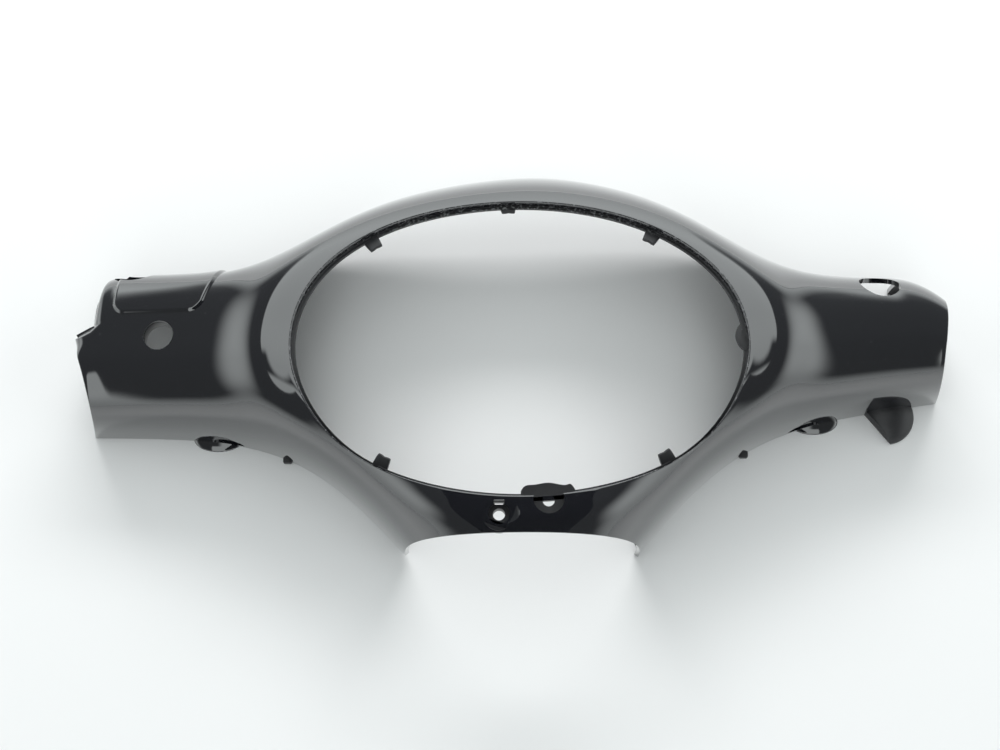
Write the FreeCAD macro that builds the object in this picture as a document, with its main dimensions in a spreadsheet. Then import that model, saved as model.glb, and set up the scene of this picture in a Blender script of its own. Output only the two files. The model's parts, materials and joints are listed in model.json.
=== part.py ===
import FreeCAD, Part
import math
import os

from FreeCAD import Placement, Rotation, Vector

# Front cover of a scooter's handlebar: one moulded half shell with a large oval lamp opening.
# X runs to the right arm, Y to the hood, Z out of the front. The origin is under the centre of
# the lamp opening, on the plane of the rear edges.

doc = FreeCAD.newDocument("handlebar_cover")
sheet = doc.addObject("Spreadsheet::Sheet", "sizes")

SIZES = [
    # Reach of the arms to each side of the lamp opening
    ("left_reach", 229.0),
    ("right_reach", 224.0),
    # Upper edge: arms, hood and the crown of the hood
    ("arm_top_left", 48.1),
    ("arm_top_right", 50.8),
    ("hood_rise", 48.2),
    ("hood_half_width", 115.9),
    ("hood_power", 3.97),
    ("crown_rise", 11.5),
    ("crown_half_width", 59.3),
    # Lower edge: arms and the neck
    ("arm_bottom_left", 33.5),
    ("arm_bottom_right", 20.5),
    ("arm_bottom_slope", 0.14),
    ("slope_station", 180.0),
    ("neck_drop", 103.3),
    ("neck_half_width", 82.7),
    ("neck_edge", 96.7),
    ("side_blend", 12.0),
    # Depth from the rear edge to the front face
    ("arm_depth", 46.0),
    ("dome_rise", 24.0),
    ("dome_half_width", 150.0),
    ("dome_power", 2.8),
    # Squareness of the cross sections
    ("left_top_power", 3.4),
    ("left_bottom_power", 2.8),
    ("right_top_power", 2.3),
    ("right_bottom_power", 2.7),
    ("hood_section_power", 2.4),
    ("neck_section_power", 3.0),
    ("power_half_width", 130.0),
    # Swell round the lamp opening
    ("swell_height", 5.0),
    ("swell_crest", 0.15),
    ("swell_width", 13.0),
    # Rounded upper corners of the arm ends
    ("left_round", 16.0),
    ("left_drop", 7.0),
    ("right_round", 32.0),
    ("right_drop", 16.0),
    # Wall and the lamp opening
    ("wall", 2.5),
    ("opening_half_width", 113.3),
    ("opening_half_height", 79.0),
    # Return wall, ledge and clip tabs of the opening
    ("rim_depth", 7.5),
    ("rim_wall", 2.2),
    ("ledge_width", 2.6),
    ("ledge_thickness", 2.2),
    ("ledge_inset", 0.4),
    ("tab_width", 7.6),
    ("tab_reach", 7.4),
    ("tab_angle_upper_left", 132.4),
    ("tab_angle_upper_right", 52.2),
    ("tab_angle_lower_left", 232.3),
    ("tab_angle_lower_right", 310.7),
    ("top_tab_angle", 92.8),
    ("top_tab_reach", 4.0),
    ("side_lug_y", 4.5),
    ("side_lug_radius", 9.0),
    ("side_lug_reach", 5.5),
    # Two screw seats under the opening
    ("screw_hole_radius", 2.9),
    ("screw_left_x", -10.2),
    ("screw_left_y", -87.7),
    ("screw_right_x", 13.5),
    ("screw_right_y", -80.6),
    ("dish_radius", 8.7),
    ("dish_depth", 1.6),
    ("seat_radius", 5.1),
    ("seat_depth", 3.4),
    ("boss_radius", 8.0),
    ("boss_depth", 9.5),
    ("recess_radius", 7.4),
    ("recess_wall", 2.0),
    ("lug_width", 26.5),
    ("lug_reach", 7.5),
    ("slot_length", 5.0),
    ("slot_width", 1.8),
    ("slot_offset", 5.6),
    # Sight hole in the left arm
    ("sight_x", -181.8),
    ("sight_y", 7.2),
    ("sight_radius", 7.6),
    ("sight_wall", 1.8),
    # Mirror stem holes on top of both arms
    ("mirror_radius", 10.5),
    ("left_mirror_x", -200.0),
    ("left_mirror_height", 33.0),
    ("left_mirror_tilt", 64.0),
    ("right_mirror_x", 186.1),
    ("right_mirror_height", 41.0),
    ("right_mirror_tilt", 50.0),
    # Raised pad round the left mirror hole
    ("pad_rise", 1.3),
    ("pad_left", -206.5),
    ("pad_right", -161.0),
    ("pad_bottom", 19.4),
    ("pad_corner", 6.0),
    ("pad_lean", 17.0),
    # Arm ends
    ("end_tilt", 4.8),
    ("left_end", 226.0),
    ("right_end", 220.5),
    ("step_end", 217.0),
    ("step_height", 12.5),
    ("step_lean", 30.0),
    # Lever notches and their lips
    ("notch_radius", 11.0),
    ("left_notch_x", -158.0),
    ("right_notch_x", 156.0),
    ("lip_half_width", 13.0),
    ("lip_reach", 4.5),
    ("lip_thickness", 2.2),
    # Round lever guard under the right arm
    ("guard_x", 194.0),
    ("guard_radius", 15.5),
    ("guard_drop", 2.5),
    ("guard_side", 10.0),
    ("guard_lean", 38.0),
    # Raised rear edge of the hood
    ("arch_rise", 26.0),
    ("arch_half_width", 118.0),
    # Locating clips along the lower edge
    ("clip_width", 6.0),
    ("clip_height", 5.0),
    ("clip_reach", 2.5),
    ("left_clip_x", -121.0),
    ("right_clip_x", 118.0),
]

for row, (alias, value) in enumerate(SIZES, start=1):
    sheet.set("A%d" % row, alias)
    sheet.set("B%d" % row, str(value))
    sheet.setAlias("B%d" % row, alias)
doc.recompute()


def size(alias):
    """Reads one driving dimension from the sheet."""
    return float(sheet.get(alias))


# Form of the outer skin


def bell(x, half_width, power):
    """Smooth rise that is 1 at the middle and falls away to both sides."""
    return math.exp(-((abs(x) / half_width) ** power))


def mix(left, right, share):
    """Blends two values, with share 0 for the left one and 1 for the right one."""
    return left * (1.0 - share) + right * share


def corner_drop(run, drop):
    """Fall of a rounded corner at a run from 0 at its start to 1 at its end."""
    return drop * min(max(run, 0.0), 1.0) ** 2.4


def section_sizes(x):
    """Upper edge, lower edge, depth and squareness of the cross section at a station."""
    side = 1.0 / (1.0 + math.exp(-x / size("side_blend")))
    top = mix(size("arm_top_left"), size("arm_top_right"), side)
    top += size("hood_rise") * bell(x, size("hood_half_width"), size("hood_power"))
    top += size("crown_rise") * bell(x, size("crown_half_width"), 2.0)
    right_start = size("right_reach") - size("right_round")
    top -= corner_drop((x - right_start) / size("right_round"), size("right_drop"))
    left_start = size("step_end") - size("left_round")
    top -= corner_drop((-x - left_start) / size("left_round"), size("left_drop"))
    right_bottom = size("arm_bottom_right") - size("arm_bottom_slope") * (x - size("slope_station"))
    bottom = -mix(size("arm_bottom_left"), right_bottom, side)
    bottom -= size("neck_drop") * bell(x, size("neck_half_width"), 2.0)
    depth = size("arm_depth") + size("dome_rise") * bell(x, size("dome_half_width"), size("dome_power"))
    middle = bell(x, size("power_half_width"), 4.0)
    top_power = mix(size("left_top_power"), size("right_top_power"), side)
    top_power = mix(top_power, size("hood_section_power"), middle)
    bottom_power = mix(size("left_bottom_power"), size("right_bottom_power"), side)
    bottom_power = mix(bottom_power, size("neck_section_power"), middle)
    return top, bottom, depth, top_power, bottom_power


def swell(x, y):
    """Height of the soft ridge that runs round the lamp opening."""
    half_width = size("opening_half_width")
    half_height = size("opening_half_height")
    away = math.hypot(x / half_width, y / half_height) - 1.0 - size("swell_crest")
    away *= math.sqrt(half_width * half_height)
    return size("swell_height") * math.exp(-((away / size("swell_width")) ** 2))


def section_point(x, sizes, turn):
    """Point of a cross section, from the lower edge at turn 0 to the upper edge at turn pi."""
    top, bottom, depth, top_power, bottom_power = sizes
    across = -math.cos(turn)
    power = top_power if across > 0.0 else bottom_power
    y = 0.5 * (top + bottom)
    y += 0.5 * (top - bottom) * math.copysign(abs(across) ** (2.0 / power), across)
    share = max(math.sin(turn), 0.0) ** (2.0 / power)
    return Vector(x, y, depth * share + swell(x, y) * share * share)


STATIONS = 57
SECTION_POINTS = 33
SAMPLES = 360


def section_row(x):
    """Points of a cross section at equal steps along its length."""
    sizes = section_sizes(x)
    dense = []
    for index in range(SAMPLES + 1):
        step = index / SAMPLES
        turn = math.pi * (step - math.sin(2.0 * math.pi * step) / (2.0 * math.pi))
        dense.append(section_point(x, sizes, turn))
    dense[0].z = 0.0
    dense[-1].z = 0.0
    reach = [0.0]
    for before, after in zip(dense, dense[1:]):
        reach.append(reach[-1] + (after - before).Length)
    row = [dense[0]]
    place = 0
    for index in range(1, SECTION_POINTS - 1):
        goal = reach[-1] * index / (SECTION_POINTS - 1)
        while reach[place + 1] < goal:
            place += 1
        share = (goal - reach[place]) / (reach[place + 1] - reach[place])
        row.append(dense[place] + (dense[place + 1] - dense[place]) * share)
    row.append(dense[-1])
    return row


def skin_grid():
    """Rows of points on the outer skin and the outward directions at those points."""
    start = -size("left_reach")
    span = size("left_reach") + size("right_reach")
    rows = [section_row(start + span * index / (STATIONS - 1)) for index in range(STATIONS)]
    directions = []
    for i in range(STATIONS):
        line = []
        for j in range(SECTION_POINTS):
            along = rows[min(i + 1, STATIONS - 1)][j] - rows[max(i - 1, 0)][j]
            round_it = rows[i][min(j + 1, SECTION_POINTS - 1)] - rows[i][max(j - 1, 0)]
            out = along.cross(round_it)
            if i in (0, STATIONS - 1):
                out.x = 0.0
            if j in (0, SECTION_POINTS - 1):
                out.z = 0.0
            line.append(out.normalize())
        directions.append(line)
    return rows, directions


SKIN_ROWS, SKIN_OUT = skin_grid()


def skin_height(x, y):
    """Height of the outer skin above a point of the rear plane."""
    top, bottom, depth, top_power, bottom_power = section_sizes(x)
    across = (y - 0.5 * (top + bottom)) / (0.5 * (top - bottom))
    power = top_power if across > 0.0 else bottom_power
    share = max(1.0 - abs(across) ** power, 0.0) ** (1.0 / power)
    return depth * share + swell(x, y) * share * share


def skin_face(inset):
    """Smooth face a given distance inside the outer skin."""
    grid = []
    for points, directions in zip(SKIN_ROWS, SKIN_OUT):
        grid.append([point - out * inset for point, out in zip(points, directions)])
    surface = Part.BSplineSurface()
    surface.interpolate(grid)
    return surface.toShape()


def border_edges(face):
    """Lower edge, upper edge, left end and right end of a skin face."""
    middle_y = {}
    ends = {}
    for edge in face.Edges:
        box = edge.BoundBox
        if box.XLength < 1e-3:
            ends[box.XMin < 0.0] = edge
        else:
            middle_y[edge.CenterOfMass.y > 0.0] = edge
    return middle_y[False], middle_y[True], ends[True], ends[False]


def planar_cap(edges):
    """Flat face inside a closed loop of edges."""
    return Part.Face(Part.Wire(Part.__sortEdges__(edges)))


def end_points(edge):
    """First and last corner of an edge."""
    return edge.Vertexes[0].Point, edge.Vertexes[-1].Point


def layer(outer_inset, inner_inset):
    """Solid layer between two depths under the outer skin."""
    outer = skin_face(outer_inset)
    inner = skin_face(inner_inset)
    faces = [outer, inner]
    for outer_edge, inner_edge in zip(border_edges(outer), border_edges(inner)):
        ends = [end_line(outer_edge, inner_edge, min), end_line(outer_edge, inner_edge, max)]
        faces.append(planar_cap([outer_edge, inner_edge] + ends))
    return closed_solid(faces)


def end_line(outer, inner, pick):
    """Line between the first or last ends of two edges that run side by side."""
    way = "x" if outer.BoundBox.XLength > 1e-3 else "y"
    first = pick(end_points(outer), key=lambda point: getattr(point, way))
    second = pick(end_points(inner), key=lambda point: getattr(point, way))
    return Part.makeLine(first, second)


def closed_solid(faces):
    """Solid inside a set of faces that meet along their borders."""
    shell = Part.Shell(faces)
    shell.sewShape()
    solid = Part.Solid(Part.Shell(shell.Faces))
    if solid.Volume < 0.0:
        solid.reverse()
    return solid


def core(inset):
    """Solid body that fills everything behind the skin, from a given depth under it."""
    face = skin_face(inset)
    lower, upper, left, right = border_edges(face)
    faces = [face]
    left_chord = Part.makeLine(*sorted(end_points(left), key=lambda point: point.y))
    right_chord = Part.makeLine(*sorted(end_points(right), key=lambda point: point.y))
    faces.append(planar_cap([left, left_chord]))
    faces.append(planar_cap([right, right_chord]))
    faces.append(planar_cap([lower, upper, left_chord, right_chord]))
    return closed_solid(faces)


def solid_feature(name, shape):
    """Adds a finished shape to the document."""
    feature = doc.addObject("Part::Feature", name)
    feature.Shape = shape
    return feature


# Building blocks whose sizes follow the sheet


def box(name, length, width, height, base, turn=0.0, axis=Vector(0, 0, 1)):
    """Block with bound edge lengths, placed by its first corner."""
    block = doc.addObject("Part::Box", name)
    block.setExpression("Length", length)
    block.setExpression("Width", width)
    block.setExpression("Height", height)
    block.Placement = Placement(base, Rotation(axis, turn))
    return block


def cylinder(name, radius, height, base, direction=Vector(0, 0, 1)):
    """Round bar with a bound radius and length."""
    bar = doc.addObject("Part::Cylinder", name)
    bar.setExpression("Radius", radius)
    bar.setExpression("Height", height)
    bar.Placement = Placement(base, Rotation(Vector(0, 0, 1), direction))
    return bar


def oval(name, half_width, half_height, height, base):
    """Upright oval column with bound half axes."""
    outline = doc.addObject("Part::Ellipse", name + "_outline")
    outline.setExpression("MajorRadius", half_width)
    outline.setExpression("MinorRadius", half_height)
    outline.Placement = Placement(base, Rotation())
    column = doc.addObject("Part::Extrusion", name)
    column.Base = outline
    column.DirMode = "Custom"
    column.Dir = Vector(0, 0, 1)
    column.setExpression("LengthFwd", height)
    column.Solid = True
    return column


def joined(name, shapes):
    """Union of several objects."""
    union = doc.addObject("Part::MultiFuse", name)
    union.Shapes = shapes
    return union


def shared(name, base, tool):
    """Part that two objects have in common."""
    common = doc.addObject("Part::Common", name)
    common.Base = base
    common.Tool = tool
    return common


def cut(name, base, tool):
    """One object with another one taken out of it."""
    rest = doc.addObject("Part::Cut", name)
    rest.Base = base
    rest.Tool = tool
    return rest


FULL_HEIGHT = "sizes.arm_depth + sizes.dome_rise + sizes.swell_height + 20"
LOW = Vector(0, 0, -5)


def at(x, y, z=-5.0):
    """Point of the shared frame."""
    return Vector(x, y, z)


# Shell and the mass round the lamp opening

skin = solid_feature("skin", layer(0.0, size("wall")))
rim_layer = solid_feature("rim_layer", layer(0.6, size("rim_depth")))
rim_disc = oval(
    "rim_disc",
    "sizes.opening_half_width + sizes.rim_wall",
    "sizes.opening_half_height + sizes.rim_wall",
    FULL_HEIGHT,
    LOW,
)
recess_post = cylinder(
    "recess_post",
    "sizes.recess_radius + sizes.recess_wall",
    FULL_HEIGHT,
    at(size("screw_right_x"), size("screw_right_y")),
)
rim_plan = joined("rim_plan", [rim_disc, recess_post])
rim_mass = shared("rim_mass", rim_layer, rim_plan)

# Bosses behind the left screw and the sight hole

boss_layer = solid_feature("boss_layer", layer(0.7, size("boss_depth")))
screw_boss = cylinder(
    "screw_boss",
    "sizes.boss_radius",
    FULL_HEIGHT,
    at(size("screw_left_x"), size("screw_left_y")),
)
sight_boss = cylinder(
    "sight_boss",
    "sizes.sight_radius + sizes.sight_wall",
    FULL_HEIGHT,
    at(size("sight_x"), size("sight_y")),
)
boss_plan = joined("boss_plan", [screw_boss, sight_boss])
bosses = shared("bosses", boss_layer, boss_plan)

# Raised pad round the left mirror hole, with a leaning right side

pad_layer = solid_feature("pad_layer", layer(-size("pad_rise"), 1.2))
pad_block = box(
    "pad_block",
    "sizes.pad_right - sizes.pad_left + 40",
    "sizes.arm_top_left + 20",
    FULL_HEIGHT,
    at(size("pad_left"), size("pad_bottom")),
)
pad_side = box("pad_side", "90", "140", FULL_HEIGHT, at(0, 0))
pad_side.Placement = Placement(
    at(size("pad_right"), size("pad_bottom"), -5.0), Rotation(Vector(0, 0, 1), -size("pad_lean"))
).multiply(Placement(Vector(-90, -40, 0), Rotation()))
pad_plan = shared("pad_plan", pad_block, pad_side)
doc.recompute()
pad_corners = []
for index, edge in enumerate(pad_plan.Shape.Edges, start=1):
    upright = edge.BoundBox.ZLength > 10.0
    if upright and abs(edge.CenterOfMass.y - size("pad_bottom")) < 1e-3:
        pad_corners.append((index, size("pad_corner"), size("pad_corner")))
pad_round = doc.addObject("Part::Fillet", "pad_round")
pad_round.Base = pad_plan
pad_round.Edges = pad_corners
pad = shared("pad", pad_layer, pad_round)

# Closed end of the left bulge: an upright wall and the leaning shoulder under it

behind = solid_feature("behind", core(0.5))
end_wall = box(
    "end_wall",
    "sizes.wall + 3",
    "sizes.arm_top_left",
    FULL_HEIGHT,
    at(-size("step_end") - 3.0, size("step_height") - 4.0),
)
shoulder = box("shoulder", "24", "sizes.wall + 3", FULL_HEIGHT, at(0, 0))
shoulder.Placement = Placement(
    at(-size("step_end"), size("step_height")), Rotation(Vector(0, 0, 1), size("step_lean"))
).multiply(Placement(Vector(-20, -size("wall"), 0), Rotation()))
closing_plan = joined("closing_plan", [end_wall, shoulder])
closing = shared("closing", behind, closing_plan)

# Lips of the lever notches, the round lever guard and the locating clips


def lower_edge(x):
    """Height of the lower edge of the cover at a station."""
    return section_sizes(x)[1]


def lip(name, x):
    """Shallow half oval shelf that closes a lever notch at the rear edge."""
    shelf = oval(
        name,
        "sizes.lip_half_width",
        "sizes.lip_reach + sizes.wall",
        "sizes.lip_thickness",
        at(x, lower_edge(x) + size("wall") * 0.9, 0.0),
    )
    return shelf


left_lip = lip("left_lip", size("left_notch_x"))
right_lip = lip("right_lip", size("right_notch_x"))
guard_x = size("guard_x")
guard_y = lower_edge(guard_x) - size("guard_drop")


def ball(name, radius):
    """Ball at the centre of the lever guard."""
    sphere = doc.addObject("Part::Sphere", name)
    sphere.setExpression("Radius", radius)
    sphere.Placement = Placement(at(guard_x, guard_y, 0.0), Rotation())
    return sphere


guard_shell = cut(
    "guard_shell",
    ball("guard_outside", "sizes.guard_radius"),
    ball("guard_inside", "sizes.guard_radius - sizes.wall"),
)
guard_block = box(
    "guard_block",
    "2 * sizes.guard_radius",
    "sizes.guard_radius + sizes.guard_drop + sizes.wall",
    "sizes.guard_radius",
    at(guard_x - size("guard_radius"), guard_y - size("guard_radius"), 0.0),
)
guard_side = box("guard_side", "80", "160", "80", at(0, 0))
guard_side.Placement = Placement(
    at(guard_x - size("guard_side"), guard_y, -40.0), Rotation(Vector(0, 0, 1), size("guard_lean"))
).multiply(Placement(Vector(-80, -80, 0), Rotation()))
guard_dome = shared("guard_dome", guard_shell, guard_block)
guard = cut("guard", guard_dome, guard_side)


def clip(name, x):
    """Small locating block that peeks out under the lower edge."""
    return box(
        name,
        "sizes.clip_width",
        "sizes.clip_reach + sizes.wall + 1.5",
        "sizes.clip_height",
        at(x - 0.5 * size("clip_width"), lower_edge(x) - size("clip_reach"), 0.0),
    )


left_clip = clip("left_clip", size("left_clip_x"))
right_clip = clip("right_clip", size("right_clip_x"))
raw_cover = joined(
    "raw_cover",
    [skin, rim_mass, bosses, pad, closing, left_lip, right_lip, guard, left_clip, right_clip],
)

# Openings and trimmed edges

opening = oval("opening", "sizes.opening_half_width", "sizes.opening_half_height", FULL_HEIGHT, at(0, 0, 15.0))
neck_cut = box("neck_cut", "300", "100", FULL_HEIGHT, at(-150.0, -size("neck_edge") - 100.0))
left_cut = box("left_cut", "60", "300", FULL_HEIGHT, at(0, 0))
left_cut.Placement = Placement(
    at(-size("left_end"), 3.0), Rotation(Vector(0, 0, 1), size("end_tilt"))
).multiply(Placement(Vector(-60, -150, 0), Rotation()))
right_cut = box("right_cut", "60", "300", FULL_HEIGHT, at(0, 0))
right_cut.Placement = Placement(
    at(size("right_end"), 22.0), Rotation(Vector(0, 0, 1), -size("end_tilt"))
).multiply(Placement(Vector(0, -150, 0), Rotation()))
step_side = box("step_side", "60", "100", FULL_HEIGHT, at(-size("step_end") - 60.0, size("step_height")))
step_floor = box("step_floor", "60", "60", FULL_HEIGHT, at(0, 0))
step_floor.Placement = Placement(
    at(-size("step_end"), size("step_height")), Rotation(Vector(0, 0, 1), size("step_lean"))
).multiply(Placement(Vector(-60, 0, 0), Rotation()))


def tilted(tilt):
    """Direction that leans from the front towards the hood."""
    angle = math.radians(tilt)
    return Vector(0, math.sin(angle), math.cos(angle))


def upper_wall(x, height):
    """Point of the outer skin's upper side at a given height."""
    top, bottom, depth, power, other = section_sizes(x)
    share = (1.0 - min(height / depth, 0.999) ** power) ** (1.0 / power)
    return Vector(x, 0.5 * (top + bottom) + 0.5 * (top - bottom) * share, height)


def mirror_hole(name, x, height, tilt):
    """Round hole for a mirror stem, along its own leaning axis."""
    direction = tilted(tilt)
    return cylinder(name, "sizes.mirror_radius", "30", upper_wall(x, height) - direction * 15.0, direction)


left_mirror = mirror_hole(
    "left_mirror", size("left_mirror_x"), size("left_mirror_height"), size("left_mirror_tilt")
)
right_mirror = mirror_hole(
    "right_mirror", size("right_mirror_x"), size("right_mirror_height"), size("right_mirror_tilt")
)
sight_hole = cylinder("sight_hole", "sizes.sight_radius", FULL_HEIGHT, at(size("sight_x"), size("sight_y"), 20.0))


def notch(name, x):
    """Arched notch for a lever in the lower wall."""
    return cylinder(
        name,
        "sizes.notch_radius",
        "2 * sizes.wall + 10",
        at(x, lower_edge(x) - 8.0, size("lip_thickness")),
        Vector(0, 1, 0),
    )


left_notch = notch("left_notch", size("left_notch_x"))
right_notch = notch("right_notch", size("right_notch_x"))
notch_floor = box("notch_floor", "600", "200", "sizes.lip_thickness + 20", at(-300.0, -120.0, -20.0))
notch_pair = joined("notch_pair", [left_notch, right_notch])
notches = cut("notches", notch_pair, notch_floor)
arch_radius = (size("arch_half_width") ** 2 + size("arch_rise") ** 2) / (2.0 * size("arch_rise"))
hood_arch = cylinder(
    "hood_arch",
    "(sizes.arch_half_width ^ 2 + sizes.arch_rise ^ 2) / (2 * sizes.arch_rise)",
    "150",
    at(0, 25.0, size("arch_rise") - arch_radius),
    Vector(0, 1, 0),
)

# Left screw: a shallow dish, a round seat and a slot beside it

left_skin = skin_height(size("screw_left_x"), size("screw_left_y"))
dish_ball_radius = (size("dish_radius") ** 2 + size("dish_depth") ** 2) / (2.0 * size("dish_depth"))
dish = doc.addObject("Part::Sphere", "dish")
dish.setExpression("Radius", "(sizes.dish_radius ^ 2 + sizes.dish_depth ^ 2) / (2 * sizes.dish_depth)")
dish.Placement = Placement(
    at(size("screw_left_x"), size("screw_left_y"), left_skin - size("dish_depth") + dish_ball_radius), Rotation()
)
seat = cylinder(
    "seat",
    "sizes.seat_radius",
    "20",
    at(size("screw_left_x"), size("screw_left_y"), left_skin - size("seat_depth")),
)
slot = box(
    "slot",
    "sizes.slot_length",
    "sizes.slot_width",
    "40",
    at(
        size("screw_left_x") - 0.5 * size("slot_length"),
        size("screw_left_y") + size("slot_offset") - 0.5 * size("slot_width"),
        left_skin - 20.0,
    ),
)

# Right screw: a recess that opens into the lamp opening

recess_layer = solid_feature("recess_layer", layer(-3.0, size("rim_depth") - size("ledge_thickness") - 0.7))
recess_column = cylinder(
    "recess_column",
    "sizes.recess_radius",
    FULL_HEIGHT,
    at(size("screw_right_x"), size("screw_right_y")),
)
recess = shared("recess", recess_layer, recess_column)
cutters = joined(
    "cutters",
    [
        opening,
        neck_cut,
        left_cut,
        right_cut,
        step_side,
        step_floor,
        left_mirror,
        right_mirror,
        sight_hole,
        notches,
        hood_arch,
        dish,
        seat,
        slot,
        recess,
    ],
)
trimmed_cover = cut("trimmed_cover", raw_cover, cutters)

# Ledge inside the opening with its clip tabs and lugs

ledge_layer = solid_feature(
    "ledge_layer",
    layer(
        size("rim_depth") - size("ledge_inset") - size("ledge_thickness"),
        size("rim_depth") - size("ledge_inset"),
    ),
)
ledge_outside = oval(
    "ledge_outside",
    "sizes.opening_half_width + 1",
    "sizes.opening_half_height + 1",
    FULL_HEIGHT,
    LOW,
)
ledge_inside = oval(
    "ledge_inside",
    "sizes.opening_half_width - sizes.ledge_width",
    "sizes.opening_half_height - sizes.ledge_width",
    FULL_HEIGHT + " + 10",
    at(0, 0, -10.0),
)
ledge_ring = cut("ledge_ring", ledge_outside, ledge_inside)


def rim_block(name, angle, width, reach):
    """Block that sticks into the opening, square to the rim at a given angle."""
    turn = math.radians(angle)
    spot = at(size("opening_half_width") * math.cos(turn), size("opening_half_height") * math.sin(turn))
    lean = math.degrees(
        math.atan2(
            math.sin(turn) / size("opening_half_height"),
            math.cos(turn) / size("opening_half_width"),
        )
    )
    block = box(name, reach + " + 1", width, FULL_HEIGHT, spot)
    doc.recompute()
    back = Placement(Vector(1.0 - block.Length.Value, -0.5 * block.Width.Value, 0), Rotation())
    block.Placement = Placement(spot, Rotation(Vector(0, 0, 1), lean)).multiply(back)
    return block


tabs = [
    rim_block("tab_upper_left", size("tab_angle_upper_left"), "sizes.tab_width", "sizes.tab_reach"),
    rim_block("tab_upper_right", size("tab_angle_upper_right"), "sizes.tab_width", "sizes.tab_reach"),
    rim_block("tab_lower_left", size("tab_angle_lower_left"), "sizes.tab_width", "sizes.tab_reach"),
    rim_block("tab_lower_right", size("tab_angle_lower_right"), "sizes.tab_width", "sizes.tab_reach"),
    rim_block("tab_top", size("top_tab_angle"), "sizes.tab_width", "sizes.top_tab_reach"),
]
screw_lug = box(
    "screw_lug",
    "sizes.lug_width",
    "sizes.lug_reach + 4",
    FULL_HEIGHT,
    at(size("screw_right_x") - 0.5 * size("lug_width"), -size("opening_half_height") - 2.5),
)
side_lug = cylinder(
    "side_lug",
    "sizes.side_lug_radius",
    FULL_HEIGHT,
    at(size("opening_half_width") + size("side_lug_radius") - size("side_lug_reach"), size("side_lug_y")),
)
rim_outside = oval("rim_outside", "sizes.opening_half_width + 1", "sizes.opening_half_height + 1", FULL_HEIGHT, LOW)
lugs_plan = joined("lugs_plan", [screw_lug, side_lug])
lugs_inside = shared("lugs_inside", lugs_plan, rim_outside)
ledge_plan = joined("ledge_plan", [ledge_ring, lugs_inside] + tabs)
ledge = shared("ledge", ledge_layer, ledge_plan)
ledged_cover = joined("ledged_cover", [trimmed_cover, ledge])

# Screw holes

left_screw = cylinder(
    "left_screw",
    "sizes.screw_hole_radius",
    FULL_HEIGHT,
    at(size("screw_left_x"), size("screw_left_y"), 20.0),
)
right_screw = cylinder(
    "right_screw",
    "sizes.screw_hole_radius",
    FULL_HEIGHT,
    at(size("screw_right_x"), size("screw_right_y"), 20.0),
)
screws = joined("screws", [left_screw, right_screw])
cover = cut("cover", ledged_cover, screws)
cover.Label = "handlebar_cover"
doc.recompute()

# Checks and export

for item in doc.Objects:
    if "Invalid" in item.State or "Error" in item.State:
        raise RuntimeError("object did not build: " + item.Name)
    if hasattr(item, "Shape") and (item.Shape.isNull() or not item.Shape.isValid()):
        raise RuntimeError("shape is not valid: " + item.Name)
if len(cover.Shape.Solids) != 1:
    raise RuntimeError("the cover is not one piece: %d solids" % len(cover.Shape.Solids))

os.makedirs("parts", exist_ok=True)
cover.Shape.exportStep("parts/" + cover.Label + ".step")
box_of_cover = cover.Shape.BoundBox
print("size", round(box_of_cover.XLength, 2), round(box_of_cover.YLength, 2), round(box_of_cover.ZLength, 2))
print("volume", round(cover.Shape.Volume, 1), "faces", len(cover.Shape.Faces))
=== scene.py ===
"""Dresses the handlebar cover: a gloss black moulded shell, its fittings and a pale studio."""

import json
import logging
import math
from dataclasses import dataclass, field
from enum import Enum

import bmesh
import bpy
import numpy as np
from mathutils import Matrix, Vector

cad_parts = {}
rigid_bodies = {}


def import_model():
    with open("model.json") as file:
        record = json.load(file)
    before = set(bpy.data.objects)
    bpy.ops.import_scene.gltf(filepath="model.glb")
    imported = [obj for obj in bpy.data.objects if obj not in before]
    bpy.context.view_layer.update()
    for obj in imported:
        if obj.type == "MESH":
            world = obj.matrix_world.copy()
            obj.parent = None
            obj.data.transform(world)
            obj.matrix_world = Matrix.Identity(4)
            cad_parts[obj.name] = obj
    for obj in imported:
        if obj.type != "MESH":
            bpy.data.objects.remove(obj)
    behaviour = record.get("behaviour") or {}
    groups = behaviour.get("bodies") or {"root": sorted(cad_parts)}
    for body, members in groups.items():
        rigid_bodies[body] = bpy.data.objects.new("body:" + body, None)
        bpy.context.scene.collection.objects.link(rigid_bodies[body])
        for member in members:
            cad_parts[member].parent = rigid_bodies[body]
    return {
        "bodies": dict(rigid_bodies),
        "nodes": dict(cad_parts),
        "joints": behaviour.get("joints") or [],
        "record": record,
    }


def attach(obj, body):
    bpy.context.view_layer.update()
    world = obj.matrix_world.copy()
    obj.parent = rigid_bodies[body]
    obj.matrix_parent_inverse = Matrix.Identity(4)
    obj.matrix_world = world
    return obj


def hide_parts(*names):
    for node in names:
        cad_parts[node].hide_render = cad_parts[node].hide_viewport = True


LOG = logging.getLogger("handlebar_cover")
MM = 0.001
Span = tuple[float, float]
Spot = tuple[float, float, float]


class Side(Enum):
    """Surfaces of the shell that take a finish of their own."""

    OUTSIDE = 0
    INSIDE = 1
    LEDGE = 2


def ease(share: np.ndarray) -> np.ndarray:
    """Soft step from 0 to 1 that starts and ends level."""
    share = np.clip(share, 0.0, 1.0)
    return share * share * (3.0 - 2.0 * share)


# Form of the front skin


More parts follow.
